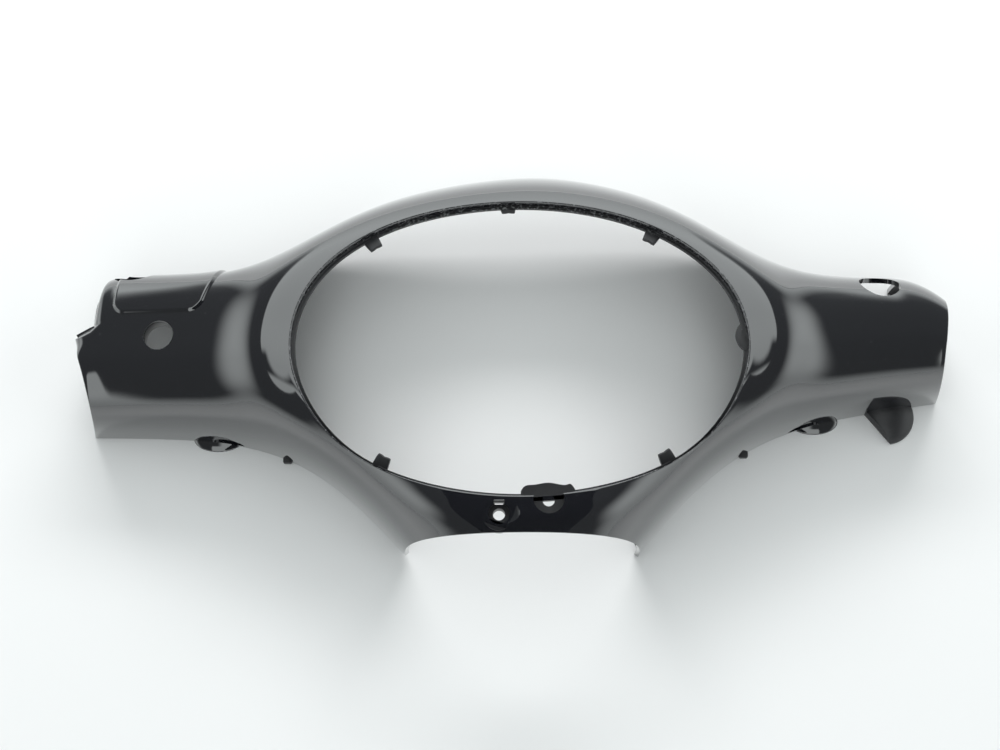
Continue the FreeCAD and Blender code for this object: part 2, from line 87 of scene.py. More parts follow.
@dataclass(frozen=True)
class SkinForm:
    """Double-curved front of the cover, given by its cross sections in millimetres."""

    arm_top: Span = (48.1, 50.8)
    hood_rise: float = 48.2
    hood_half_width: float = 115.9
    hood_power: float = 3.97
    crown_rise: float = 11.5
    crown_half_width: float = 59.3
    arm_bottom: Span = (33.5, 20.5)
    arm_bottom_slope: float = 0.14
    slope_station: float = 180.0
    neck_drop: float = 103.3
    neck_half_width: float = 82.7
    neck_edge: float = -96.7
    side_blend: float = 12.0
    arm_depth: float = 46.0
    dome_rise: float = 24.0
    dome_half_width: float = 150.0
    dome_power: float = 2.8
    top_power: Span = (3.4, 2.3)
    bottom_power: Span = (2.8, 2.7)
    hood_section_power: float = 2.4
    neck_section_power: float = 3.0
    power_half_width: float = 130.0
    power_sharpness: float = 4.0
    swell_height: float = 5.0
    swell_crest: float = 0.15
    swell_width: Span = (13.0, 13.0)
    left_round: Span = (207.0, 10.0)
    left_drop: float = 5.0
    right_round: Span = (192.0, 32.0)
    right_drop: float = 16.0
    corner_power: float = 2.4
    opening: Span = (113.3, 79.0)
    arch_rise: float = 26.0
    arch_half_width: float = 118.0
    left_end: Span = (-226.1, 7.0)
    right_end: Span = (218.4, 19.6)
    end_slope: Span = (0.327, 0.139)
    end_lean: Span = (0.228, 0.18)
    step: Span = (-217.0, 12.5)
    step_run: float = 1.732

    @staticmethod
    def bell(x: np.ndarray, half_width: float, power: float) -> np.ndarray:
        """Smooth rise that is 1 at the middle and falls away to both sides."""
        return np.exp(-((np.abs(x) / half_width) ** power))

    @staticmethod
    def mix(pair: tuple, share: np.ndarray) -> np.ndarray:
        """Blends a left and a right value, with share 0 for the left one."""
        return pair[0] * (1.0 - share) + pair[1] * share

    def corner_drop(self, run: np.ndarray, drop: float) -> np.ndarray:
        """Fall of a rounded corner, from its start at run 0 to its end at run 1."""
        return drop * np.clip(run, 0.0, 1.0) ** self.corner_power

    def sections(self, x: np.ndarray) -> tuple[np.ndarray, ...]:
        """Sizes of the cross sections at some stations.

        Args:
            x: Stations along the handlebar.

        Returns:
            Middle height, half height, depth, and the squareness of the upper and lower half.
        """
        side = 1.0 / (1.0 + np.exp(-x / self.side_blend))
        top = self.mix(self.arm_top, side)
        top = top + self.hood_rise * self.bell(x, self.hood_half_width, self.hood_power)
        top = top + self.crown_rise * self.bell(x, self.crown_half_width, 2.0)
        top = top - self.corner_drop((x - self.right_round[0]) / self.right_round[1], self.right_drop)
        top = top - self.corner_drop((-x - self.left_round[0]) / self.left_round[1], self.left_drop)
        right = self.arm_bottom[1] - self.arm_bottom_slope * (x - self.slope_station)
        bottom = -self.mix((self.arm_bottom[0], right), side)
        bottom = bottom - self.neck_drop * self.bell(x, self.neck_half_width, 2.0)
        depth = self.arm_depth + self.dome_rise * self.bell(x, self.dome_half_width, self.dome_power)
        middle = self.bell(x, self.power_half_width, self.power_sharpness)
        upper = self.mix((self.mix(self.top_power, side), self.hood_section_power), middle)
        lower = self.mix((self.mix(self.bottom_power, side), self.neck_section_power), middle)
        return 0.5 * (top + bottom), 0.5 * (top - bottom), depth, upper, lower

    def swell(self, x: np.ndarray, y: np.ndarray) -> np.ndarray:
        """Height of the soft ridge that runs round the lamp opening."""
        half_width, half_height = self.opening
        away = np.hypot(x / half_width, y / half_height) - 1.0 - self.swell_crest
        away = away * math.sqrt(half_width * half_height)
        width = np.where(away < 0.0, *self.swell_width)
        return self.swell_height * np.exp(-((away / width) ** 2))

    def point(self, x: np.ndarray, around: np.ndarray) -> np.ndarray:
        """Points of the skin.

        Args:
            x: Stations along the handlebar.
            around: Angles from 0 at the lower edge, over the front, to pi at the upper edge.

        Returns:
            Positions, with the three coordinates last.
        """
        middle, half, depth, upper, lower = self.sections(x)
        flat = -np.cos(around)
        deep = np.sin(around)
        power = np.where(flat > 0.0, upper, lower)
        reach = (np.abs(flat) ** power + np.abs(deep) ** power) ** (-1.0 / power)
        y = middle + half * reach * flat
        share = reach * deep
        z = depth * share + self.swell(x, y) * share * np.abs(share)
        return np.stack([x + 0.0 * y, y, z], axis=-1)

    def outward(self, x: np.ndarray, around: np.ndarray) -> np.ndarray:
        """Unit directions that point out of the skin."""
        along = self.point(x + 0.05, around) - self.point(x - 0.05, around)
        across = self.point(x, around + 0.002) - self.point(x, around - 0.002)
        out = np.cross(along, across)
        return out / np.linalg.norm(out, axis=-1, keepdims=True)

    def around_at(self, x: np.ndarray, y: np.ndarray) -> np.ndarray:
        """Angle round the cross section at which the skin passes over a point of the rear plane."""
        middle, half, _, upper, lower = self.sections(x)
        flat = np.clip((y - middle) / half, -1.0, 1.0)
        power = np.where(flat > 0.0, upper, lower)
        share = (1.0 - np.abs(flat) ** power) ** (1.0 / power)
        return np.arctan2(share, -flat)

    def height(self, x: np.ndarray, y: np.ndarray) -> np.ndarray:
        """Height of the skin above a point of the rear plane."""
        return self.point(x, self.around_at(x, y))[..., 2]

    def below(self, x: np.ndarray, y: np.ndarray, depth: float) -> np.ndarray:
        """Points a given distance under the skin, over given points of the rear plane."""
        slope_x = (self.height(x + 0.1, y) - self.height(x - 0.1, y)) / 0.2
        slope_y = (self.height(x, y + 0.1) - self.height(x, y - 0.1)) / 0.2
        z = self.height(x, y) - depth * np.sqrt(1.0 + slope_x**2 + slope_y**2)
        return np.stack([x + 0.0 * z, y + 0.0 * z, z], axis=-1)

    def lower_edge(self, x: float) -> float:
        """Height of the lower edge of the cover at a station."""
        middle, half, *_ = self.sections(np.array(x))
        return float(middle - half)

    def opening_line(self, turn: np.ndarray, offset: float) -> tuple[np.ndarray, np.ndarray]:
        """Outline of the lamp opening in plan, moved outwards by an offset."""
        half_width, half_height = self.opening
        out = np.stack([np.cos(turn) / half_width, np.sin(turn) / half_height], axis=-1)
        out = out / np.linalg.norm(out, axis=-1, keepdims=True)
        x = half_width * np.cos(turn) + offset * out[..., 0]
        y = half_height * np.sin(turn) + offset * out[..., 1]
        return x, y

    def upper_line(self, x: np.ndarray) -> np.ndarray:
        """Angle round the section at which the hood's raised rear edge cuts the skin."""
        radius = (self.arch_half_width**2 + self.arch_rise**2) / (2.0 * self.arch_rise)
        arch = np.sqrt(np.maximum(radius**2 - x**2, 0.0)) - radius + self.arch_rise
        low = np.full_like(x, math.pi - 1.1)
        high = np.full_like(x, math.pi)
        for _ in range(40):
            middle = 0.5 * (low + high)
            above = self.point(x, middle)[..., 2] > arch
            low = np.where(above, middle, low)
            high = np.where(above, high, middle)
        return np.where(arch > 0.0, low, math.pi)

    def left_line(self, around: np.ndarray) -> np.ndarray:
        """Stations at which the left end, its shoulder and its collar cut the skin."""
        x = np.full_like(around, self.step[0])
        for _ in range(30):
            y, z = np.moveaxis(self.point(x, around)[..., 1:], -1, 0)
            collar = self.left_end[0] - self.end_slope[0] * (y - self.left_end[1])
            collar = collar - self.end_lean[0] * np.maximum(self.arm_depth - z, 0.0)
            shoulder = self.step[0] - (self.step[1] - y) * self.step_run
            x = np.minimum(np.maximum(collar, shoulder), self.step[0])
        return x

    def right_line(self, around: np.ndarray) -> np.ndarray:
        """Stations at which the right end cuts the skin."""
        x = np.full_like(around, self.right_end[0])
        for _ in range(30):
            y, z = np.moveaxis(self.point(x, around)[..., 1:], -1, 0)
            lean = np.where(around < math.pi / 2.0, self.end_lean[1], 0.0)
            x = self.right_end[0] + self.end_slope[1] * (y - self.right_end[1])
            x = x + lean * np.maximum(self.arm_depth - z, 0.0)
        return x


FORM = SkinForm()


# Modelling helpers


def pick_only(piece: bpy.types.Object) -> None:
    """Makes one object the only selected and active one."""
    bpy.ops.object.select_all(action="DESELECT")
    piece.select_set(True)
    bpy.context.view_layer.objects.active = piece


def named(name: str) -> bpy.types.Object:
    """Gives the object that an operator has just added its name."""
    piece = bpy.context.object
    piece.name = name
    piece.data.name = name
    return piece


def settle(piece: bpy.types.Object) -> bpy.types.Object:
    """Moves an object's place, turn and size into its mesh."""
    pick_only(piece)
    bpy.ops.object.transform_apply(location=True, rotation=True, scale=True)
    return piece


def move_points(piece: bpy.types.Object, places: np.ndarray) -> None:
    """Moves all points of a mesh in edit mode.

    Args:
        piece: Object to shape.
        places: New positions in millimetres, in the order of the mesh's points.
    """
    pick_only(piece)
    bpy.ops.object.mode_set(mode="EDIT")
    mesh = bmesh.from_edit_mesh(piece.data)
    mesh.verts.ensure_lookup_table()
    for point, place in zip(mesh.verts, places.reshape(-1, 3)):
        point.co = Vector(place) * MM
    bmesh.update_edit_mesh(piece.data)
    bpy.ops.object.mode_set(mode="OBJECT")


def point_faces_out(piece: bpy.types.Object) -> None:
    """Turns all faces of a closed mesh outwards."""
    pick_only(piece)
    bpy.ops.object.mode_set(mode="EDIT")
    bpy.ops.mesh.select_all(action="SELECT")
    bpy.ops.mesh.normals_make_consistent(inside=False)
    bpy.ops.object.mode_set(mode="OBJECT")


def apply_modifier(piece: bpy.types.Object, kind: str, **values: object) -> None:
    """Adds a modifier with given values to an object and applies it."""
    pick_only(piece)
    modifier = piece.modifiers.new(kind.lower(), kind)
    for key, value in values.items():
        setattr(modifier, key, value)
    bpy.ops.object.modifier_apply(modifier=modifier.name)


def cut_away(piece: bpy.types.Object, tool: bpy.types.Object, folded: bool = False) -> None:
    """Takes the shape of a tool out of an object, which may fold into itself."""
    apply_modifier(piece, "BOOLEAN", operation="DIFFERENCE", solver="EXACT", object=tool, use_self=folded)
    bpy.data.objects.remove(tool, do_unlink=True)


def keep_inside(piece: bpy.types.Object, tool: bpy.types.Object) -> None:
    """Keeps only what an object shares with a tool."""
    apply_modifier(piece, "BOOLEAN", operation="INTERSECT", solver="EXACT", object=tool)
    bpy.data.objects.remove(tool, do_unlink=True)


def soften(piece: bpy.types.Object, width: float, angle: float = 40.0) -> None:
    """Rounds the sharp edges of a small fitting by a width in millimetres."""
    apply_modifier(
        piece,
        "BEVEL",
        width=width * MM,
        segments=2,
        limit_method="ANGLE",
        angle_limit=math.radians(angle),
        use_clamp_overlap=True,
    )


def smooth(piece: bpy.types.Object, angle: float = 35.0) -> None:
    """Shades an object smooth except across its sharp edges."""
    pick_only(piece)
    bpy.ops.object.shade_smooth_by_angle(angle=math.radians(angle))


def slice_off(piece: bpy.types.Object, spot: Vector, way: Vector, closed: bool) -> None:
    """Cuts an object along a plane and drops the side to which a direction points.

    Args:
        piece: Object to cut.
        spot: Point of the plane in millimetres.
        way: Direction in which everything is dropped.
        closed: Whether the cut gets a face.
    """
    pick_only(piece)
    bpy.ops.object.mode_set(mode="EDIT")
    bpy.ops.mesh.select_all(action="SELECT")
    bpy.ops.mesh.bisect(plane_co=spot * MM, plane_no=way, clear_outer=True, use_fill=closed)
    bpy.ops.object.mode_set(mode="OBJECT")


def flat_grid(name: str, across: int, rows: int) -> bpy.types.Object:
    """Flat grid whose points are then moved into the shape of a piece."""
    bpy.ops.object.select_all(action="DESELECT")
    bpy.ops.mesh.primitive_grid_add(x_subdivisions=across, y_subdivisions=rows, size=MM)
    return named(name)


def ball(name: str, radii: Spot, middle: Spot, fine: tuple[int, int]) -> bpy.types.Object:
    """Ball or egg shape.

    Args:
        name: Name of the object.
        radii: Half sizes in millimetres.
        middle: Position of its middle in millimetres.
        fine: Faces round the axis and along it.

    Returns:
        The new object, with its place in its mesh.
    """
    bpy.ops.object.select_all(action="DESELECT")
    bpy.ops.mesh.primitive_uv_sphere_add(segments=fine[0], ring_count=fine[1], radius=MM)
    piece = named(name)
    piece.scale = radii
    piece.location = Vector(middle) * MM
    return settle(piece)


def bar(
    name: str, radius: float, length: float, middle: Spot, way: Vector = Vector((0, 0, 1))
) -> bpy.types.Object:
    """Round bar, used as a tool or as the start of a boss.

    Args:
        name: Name of the object.
        radius: Radius in millimetres.
        length: Length in millimetres.
        middle: Position of its middle in millimetres.
        way: Direction of its axis.

    Returns:
        The new object, with its place in its mesh.
    """
    bpy.ops.object.select_all(action="DESELECT")
    bpy.ops.mesh.primitive_cylinder_add(vertices=72, radius=radius * MM, depth=length * MM)
    piece = named(name)
    piece.location = Vector(middle) * MM
    piece.rotation_euler = way.to_track_quat("Z", "Y").to_euler()
    return settle(piece)


def block(name: str, sizes: Spot, frame: Matrix) -> bpy.types.Object:
    """Block with given edge lengths in millimetres, standing in a local frame."""
    bpy.ops.object.select_all(action="DESELECT")
    bpy.ops.mesh.primitive_cube_add(size=MM)
    piece = named(name)
    piece.scale = sizes
    settle(piece)
    piece.matrix_world = frame
    return settle(piece)


def opening_column(offset: float) -> bpy.types.Object:
    """Upright oval column over the lamp opening, grown by an offset."""
    bpy.ops.object.select_all(action="DESELECT")
    bpy.ops.mesh.primitive_cylinder_add(vertices=240, radius=1.0, depth=0.2)
    piece = named("opening_column")
    piece.scale = ((FORM.opening[0] + offset) * MM, (FORM.opening[1] + offset) * MM, 1.0)
    return settle(piece)


# Finishes


@dataclass(frozen=True)
class Finish:
    """Moulded black plastic with its own gloss, grain and dust, and on some a speckled edge that is partly
    scuffing and partly painted highlight.
    """

    name: str
    colour: Spot
    dust_and_glint_colour: Spot
    roughness: Span
    dust: float
    grain: float
    refraction: float
    lacquer: float = 0.0
    lacquer_roughness: float = 0.03
    lacquer_refraction: float = 1.8
    # Strength of the lighter speckles along the opening's edge: partly scuffing, partly painted highlight, in
    # the dust colour
    rim_scuff_and_glint: float = 0.0
    scuff_and_glint_ring: Span = (1.0, 0.006)
    glint_from: float = -1.0

    def material(self) -> bpy.types.Material:
        """Builds the material once and returns it from then on."""
        known = bpy.data.materials.get(self.name)
        if known:
            return known
        material = bpy.data.materials.new(self.name)
        material.use_nodes = True
        tree = material.node_tree
        shader = tree.nodes["Principled BSDF"]
        shader.inputs["IOR"].default_value = self.refraction
        shader.inputs["Coat Weight"].default_value = self.lacquer
        shader.inputs["Coat Roughness"].default_value = self.lacquer_roughness
        shader.inputs["Coat IOR"].default_value = self.lacquer_refraction
        place = tree.nodes.new("ShaderNodeTexCoord")
        marks = tree.nodes.new("ShaderNodeGroup")
        marks.node_tree = surface_marks()
        tree.links.new(place.outputs["Object"], marks.inputs["Place"])
        dust = math_node(tree, "MULTIPLY", marks.outputs["Dust"], self.dust)
        # Lighter speckles along the opening's edge join the dust: partly scuffing, partly painted highlight
        if self.rim_scuff_and_glint:
            scuff_and_glint = self.scuffed_and_glinting_rim(tree, place.outputs["Object"])
            dust = math_node(tree, "MAXIMUM", dust, scuff_and_glint)
        colour = tree.nodes.new("ShaderNodeMix")
        colour.data_type = "RGBA"
        colour.inputs["A"].default_value = (*self.colour, 1.0)
        colour.inputs["B"].default_value = (*self.dust_and_glint_colour, 1.0)
        tree.links.new(dust, colour.inputs["Factor"])
        tree.links.new(colour.outputs["Result"], shader.inputs["Base Color"])
        gloss = map_node(tree, marks.outputs["Smudge"], (0.0, 1.0), self.roughness)
        rough = math_node(tree, "MULTIPLY_ADD", dust, 0.5, gloss)
        tree.links.new(rough, shader.inputs["Roughness"])
        bump = tree.nodes.new("ShaderNodeBump")
        bump.inputs["Strength"].default_value = self.grain
        bump.inputs["Distance"].default_value = 0.0002
        tree.links.new(marks.outputs["Grain"], bump.inputs["Height"])
        tree.links.new(bump.outputs["Normal"], shader.inputs["Normal"])
        return material

    def scuffed_and_glinting_rim(self, tree: bpy.types.NodeTree, place: bpy.types.NodeSocket) -> bpy.types.NodeSocket:
        """Speckled scuffing along the edge of the lamp opening, whose lighter speckles are also a painted
        highlight.

        Args:
            tree: Node tree of the material.
            place: Object coordinates.

        Returns:
            Mask that is 1 where the edge gets lighter speckles, for scuffing and for the painted highlight.
        """
        plan = tree.nodes.new("ShaderNodeVectorMath")
        plan.operation = "MULTIPLY"
        plan.inputs[1].default_value = (1.0 / (FORM.opening[0] * MM), 1.0 / (FORM.opening[1] * MM), 0.0)
        tree.links.new(place, plan.inputs[0])
        ring = tree.nodes.new("ShaderNodeVectorMath")
        ring.operation = "LENGTH"
        tree.links.new(plan.outputs["Vector"], ring.inputs[0])
        middle, half_width = self.scuff_and_glint_ring
        away = math_node(tree, "ABSOLUTE", math_node(tree, "SUBTRACT", ring.outputs["Value"], middle))
        near = map_node(tree, away, (0.7 * half_width, 1.5 * half_width), (1.0, 0.0))
        speckle = tree.nodes.new("ShaderNodeTexNoise")
        speckle.inputs["Scale"].default_value = 700.0
        speckle.inputs["Detail"].default_value = 4.0
        tree.links.new(place, speckle.inputs["Vector"])
        spots = map_node(tree, speckle.outputs["Fac"], (0.52, 0.66))
        split = tree.nodes.new("ShaderNodeSeparateXYZ")
        tree.links.new(plan.outputs["Vector"], split.inputs["Vector"])
        # Painted highlight: the speckles are kept to the upper part of the opening, where the light falls
        high = map_node(tree, split.outputs["Y"], (self.glint_from, self.glint_from + 0.2))
        both = math_node(tree, "MULTIPLY", math_node(tree, "MULTIPLY", near, spots), high)
        return math_node(tree, "MULTIPLY", both, self.rim_scuff_and_glint)


def math_node(
    tree: bpy.types.NodeTree, operation: str, first: object, second: object = 0.0, third: object = 0.0
) -> bpy.types.NodeSocket:
    """Adds a Math node whose inputs are sockets or plain numbers.

    Args:
        tree: Node tree to add to.
        operation: What the node does.
        first: First input.
        second: Second input.
        third: Third input.

    Returns:
        The node's result.
    """
    node = tree.nodes.new("ShaderNodeMath")
    node.operation = operation
    for socket, value in zip(node.inputs, (first, second, third)):
        if isinstance(value, bpy.types.NodeSocket):
            tree.links.new(value, socket)
        else:
            socket.default_value = value
    return node.outputs["Value"]


def map_node(
    tree: bpy.types.NodeTree,
    value: bpy.types.NodeSocket,
    edge: Span,
    ends: Span = (0.0, 1.0),
    kind: str = "LINEAR",
) -> bpy.types.NodeSocket:
    """Adds a Map Range node that turns one range of values into another.

    Args:
        tree: Node tree to add to.
        value: Value to turn.
        edge: Where the range starts and ends.
        ends: Results at the start and at the end.
        kind: How it goes from one to the other.

    Returns:
        The node's result.
    """
    node = tree.nodes.new("ShaderNodeMapRange")
    node.interpolation_type = kind
    names = ("From Min", "From Max", "To Min", "To Max")
    for name, number in zip(names, (*edge, *ends)):
        node.inputs[name].default_value = number
    tree.links.new(value, node.inputs["Value"])
    return node.outputs["Result"]


def surface_marks() -> bpy.types.NodeTree:
    """Node group with the hand smudges, dust specks and moulding grain of black plastic."""
    known = bpy.data.node_groups.get("surface_marks")
    if known:
        return known
    group = bpy.data.node_groups.new("surface_marks", "ShaderNodeTree")
    group.interface.new_socket("Place", in_out="INPUT", socket_type="NodeSocketVector")
    for name in ("Smudge", "Dust", "Grain"):
        group.interface.new_socket(name, in_out="OUTPUT", socket_type="NodeSocketFloat")
    source = group.nodes.new("NodeGroupInput")
    result = group.nodes.new("NodeGroupOutput")
    smudge = group.nodes.new("ShaderNodeTexNoise")
    smudge.inputs["Scale"].default_value = 28.0
    smudge.inputs["Detail"].default_value = 5.0
    smudge.inputs["Distortion"].default_value = 0.8
    grain = group.nodes.new("ShaderNodeTexNoise")
    grain.inputs["Scale"].default_value = 420.0
    grain.inputs["Detail"].default_value = 3.0
    specks = group.nodes.new("ShaderNodeTexVoronoi")
    specks.inputs["Scale"].default_value = 260.0
    for node in (smudge, grain, specks):
        group.links.new(source.outputs["Place"], node.inputs["Vector"])
    dots = map_node(group, specks.outputs["Distance"], (0.10, 0.05))
    tint = group.nodes.new("ShaderNodeSeparateColor")
    group.links.new(specks.outputs["Color"], tint.inputs["Color"])
    few = map_node(group, tint.outputs["Red"], (0.78, 0.86))
    dust = math_node(group, "MULTIPLY", dots, few)
    group.links.new(smudge.outputs["Fac"], result.inputs["Smudge"])
    group.links.new(dust, result.inputs["Dust"])
    group.links.new(grain.outputs["Fac"], result.inputs["Grain"])
    return group


GLOSS = Finish(
    name="lacquered_black",
    colour=(0.0065, 0.007, 0.0095),
    dust_and_glint_colour=(0.16, 0.16, 0.17),
    roughness=(0.04, 0.09),
    dust=0.25,
    grain=0.02,
    refraction=1.65,
    lacquer=1.0,
    # Lighter speckles all round the opening's edge: scuffing and painted highlight
    rim_scuff_and_glint=0.8,
)
RAW = Finish(
    name="raw_moulded_inside",
    colour=(0.016, 0.016, 0.018),
    dust_and_glint_colour=(0.12, 0.12, 0.12),
    roughness=(0.32, 0.46),
    dust=0.35,
    grain=0.25,
    refraction=1.5,
)
CLIP = Finish(
    name="matte_clip_black",
    colour=(0.024, 0.024, 0.026),
    dust_and_glint_colour=(0.3, 0.31, 0.31),
    roughness=(0.38, 0.52),
    dust=0.2,
    grain=0.35,
    refraction=1.5,
    rim_scuff_and_glint=1.0,
    scuff_and_glint_ring=(0.985, 0.012),
    # Painted highlight: the ledge's speckles stay on the upper part of the opening
    glint_from=0.72,
)


def dress(piece: bpy.types.Object, *finishes: Finish) -> None:
    """Gives a piece its materials, one slot each."""
    for finish in finishes:
        piece.data.materials.append(finish.material())


# The shell


@dataclass
class Shell:
    """Moulded half shell with its rounded edges, return wall and ledge round the lamp opening."""

    wall: float = 2.5
    edge_round: float = 0.5
    bulge_round: float = 6.5
    taper: float = 6.0
    overrun: int = 7
    rim_round: float = 0.8
    rim_depth: float = 7.3
    ledge_top: float = 4.9
    ledge_width: float = 1.7
    rim_wall: float = 2.2
    rim_levels: Spot = (2.2, 3.6, 5.0)
    rim_leans: tuple = (22.5, 45.0, 67.5, 90.0)
    crease: float = 0.3
    root_round: float = 0.6
    edge_steps: int = 6
    edge_gaps: tuple = (2.6, 1.4, 0.6, 0.0)
    columns: int = 480
    skin_rings: int = 58
    inner_rings: int = 34
    corners: tuple = (0, 44, 120, 196, 236, 244, 288, 318, 404, 436, 480)
    piece: bpy.types.Object = field(default=None, repr=False)

    def border(self) -> tuple[np.ndarray, np.ndarray]:
        """Outer edge of the shell, one point for each column.

        Returns:
            Stations and angles round the section.
        """
        half = math.pi / 2.0
        rise = np.linspace(half, math.pi, 300)
        neck = self.neck_tips()
        step_low = float(FORM.around_at(np.array(FORM.step[0]), np.array(FORM.step[1])))
        left_turn = np.linspace(math.pi, 0.0, 2400)
        left_x = FORM.left_line(left_turn)
        upper = left_turn >= step_low
        collar = (~upper) & (FORM.point(left_x, left_turn)[:, 1] <= self.collar_height())
        shoulder = (~upper) & ~collar
        first = int(np.flatnonzero(shoulder)[0]) if shoulder.any() else int(np.flatnonzero(collar)[0])
        last = int(np.flatnonzero(collar)[0])
        right_x = FORM.right_line(rise)
        crown = np.linspace(right_x[-1], 0.0, 400)
        fall = np.linspace(0.0, FORM.step[0], 400)
        low_right = float(FORM.right_line(np.array([0.0]))[0])
        stretches = [
            (right_x, rise),
            (crown, FORM.upper_line(crown)),
            (fall, FORM.upper_line(fall)),
            (left_x[: first + 1], left_turn[: first + 1]),
            (left_x[first : last + 1], left_turn[first : last + 1]),
            (left_x[last:], left_turn[last:]),
        ]
        run = np.linspace(left_x[-1], neck[0], 200)
        stretches.append((run, np.zeros_like(run)))
        run = np.linspace(neck[0], neck[1], 4000)
        stretches.append((run, FORM.around_at(run, np.full_like(run, FORM.neck_edge))))
        run = np.linspace(neck[1], low_right, 200)
        stretches.append((run, np.zeros_like(run)))
        rise = np.linspace(0.0, half, 300)
        stretches.append((FORM.right_line(rise), rise))
        stations = []
        angles = []
        for (x, around), start, end in zip(stretches, self.corners, self.corners[1:]):
            places = FORM.point(x, around)
            lengths = np.linalg.norm(np.diff(places, axis=0), axis=1)
            reach = np.concatenate([[0.0], np.cumsum(lengths)])
            goals = np.linspace(0.0, reach[-1], end - start + 1)[:-1]
            stations.append(np.interp(goals, reach, x))
            angles.append(np.interp(goals, reach, around))
        return np.concatenate(stations), np.concatenate(angles)

    @staticmethod
    def collar_height() -> float:
        """Height at which the sloping shoulder meets the end of the collar."""
        shoulder = FORM.step[0] - FORM.step[1] * FORM.step_run
        collar = FORM.left_end[0] + FORM.end_slope[0] * FORM.left_end[1]
        return (collar - shoulder) / (FORM.step_run + FORM.end_slope[0])

    @staticmethod
    def neck_tips() -> Span:
        """Stations at which the neck's lower edge meets the rear edge of the shell."""
        x = np.linspace(-120.0, 120.0, 24001)
        middle, half, *_ = FORM.sections(x)
        low = np.flatnonzero(middle - half < FORM.neck_edge)
        return float(x[low[0]]), float(x[low[-1]])

    def edge_radii(self) -> np.ndarray:
        """Rounding of the outer edge, larger where the left bulge turns into its end."""
        radii = np.full(self.columns, self.edge_round)
        start, end = self.corners[3], self.corners[5]
        column = np.arange(self.columns)
        rise = np.clip((column - start) / self.taper, 0.0, 1.0)
        fall = np.clip((end + self.overrun - column) / self.taper, 0.0, 1.0)
        return radii + (self.bulge_round - self.edge_round) * ease(rise * fall)

    def grid(self) -> tuple[np.ndarray, np.ndarray]:
        """All points of the shell.

        Returns:
            Points by column and by place round the wall, and the surface that follows each place.
        """
        turn = np.arange(self.columns) * 2.0 * math.pi / self.columns
        edge_x, edge_around = self.border()
        radii = self.edge_radii()
        rim_x, rim_y = FORM.opening_line(turn, self.rim_round)
        rim_around = FORM.around_at(rim_x, rim_y)
        near = 1.0 - 1e-3
        step = FORM.point(edge_x, edge_around) - FORM.point(
            edge_x * near + rim_x * (1.0 - near), edge_around * near + rim_around * (1.0 - near)
        )
        speed = np.linalg.norm(step, axis=1) / (1.0 - near)

        def on_skin(share: np.ndarray, sink: np.ndarray, start: tuple) -> np.ndarray:
            """Points between the rim and the outer edge, sunk below the skin."""
            x = start[0] * (1.0 - share) + edge_x * share
            around = start[1] * (1.0 - share) + edge_around * share
            return FORM.point(x, around) - FORM.outward(x, around) * sink[:, None]

        rings: list[np.ndarray] = []
        sides: list[Side] = []

        def add(ring: np.ndarray, side: Side) -> None:
            """Adds a ring and names the surface between it and the next one."""
            rings.append(ring)
            sides.append(side)

        rim = (rim_x, rim_around)
        for lean in np.linspace(math.pi / 2.0, 0.0, self.edge_steps + 1)[:-1]:
            gap = radii * (1.0 - math.sin(lean))
            add(on_skin(1.0 - gap / speed, radii * (1.0 - math.cos(lean)), rim), Side.OUTSIDE)
        flat = np.zeros(self.columns)
        for share in np.linspace(1.0, 0.0, self.skin_rings):
            add(on_skin((1.0 - radii / speed) * share, flat, rim), Side.OUTSIDE)
        for lean in self.rim_leans:
            angle = math.radians(lean)
            x, y = FORM.opening_line(turn, self.rim_round * (1.0 - math.sin(angle)))
            sink = np.array([0.0, 0.0, self.rim_round * (1.0 - math.cos(angle))])
            add(FORM.below(x, y, 0.0) - sink, Side.OUTSIDE)
        inside, crease = self.ledge_width, self.crease
        upper, lower, back_level = self.rim_levels
        profile = [
            (0.0, upper, Side.OUTSIDE),
            (0.0, lower, Side.OUTSIDE),
            (0.0, self.ledge_top - crease, Side.LEDGE),
            (-crease, self.ledge_top, Side.LEDGE),
            (-0.5 * inside, self.ledge_top, Side.LEDGE),
            (crease - inside, self.ledge_top, Side.LEDGE),
            (-inside, self.ledge_top + crease, Side.LEDGE),
            (-inside, self.rim_depth - crease, Side.LEDGE),
            (crease - inside, self.rim_depth, Side.INSIDE),
            (0.0, self.rim_depth, Side.INSIDE),
            (self.rim_wall - crease, self.rim_depth, Side.INSIDE),
            (self.rim_wall, self.rim_depth - crease, Side.INSIDE),
            (self.rim_wall, back_level, Side.INSIDE),
            (self.rim_wall, self.wall + self.root_round, Side.INSIDE),
        ]
        for offset, depth, side in profile:
            x, y = FORM.opening_line(turn, offset)
            add(FORM.below(x, y, depth), side)
        back_x, back_y = FORM.opening_line(turn, self.rim_wall + self.root_round)
        back = (back_x, FORM.around_at(back_x, back_y))
        bulge = (radii - self.edge_round) / (self.bulge_round - self.edge_round)
        inner_edge = 1.0 - self.bulge_round / speed
        for share in np.linspace(0.0, 1.0, self.inner_rings):
            add(on_skin(inner_edge * share, flat + self.wall, back), Side.INSIDE)
        for gap in self.edge_gaps:
            sink = self.bulge_round - math.sqrt(self.bulge_round**2 - (self.bulge_round - gap) ** 2)
            side = Side.INSIDE if gap else Side.OUTSIDE
            add(on_skin(1.0 - gap / speed, self.wall + bulge * sink, back), side)
        points = np.stack(rings, axis=1)
        return points, np.array([side.value for side in sides])

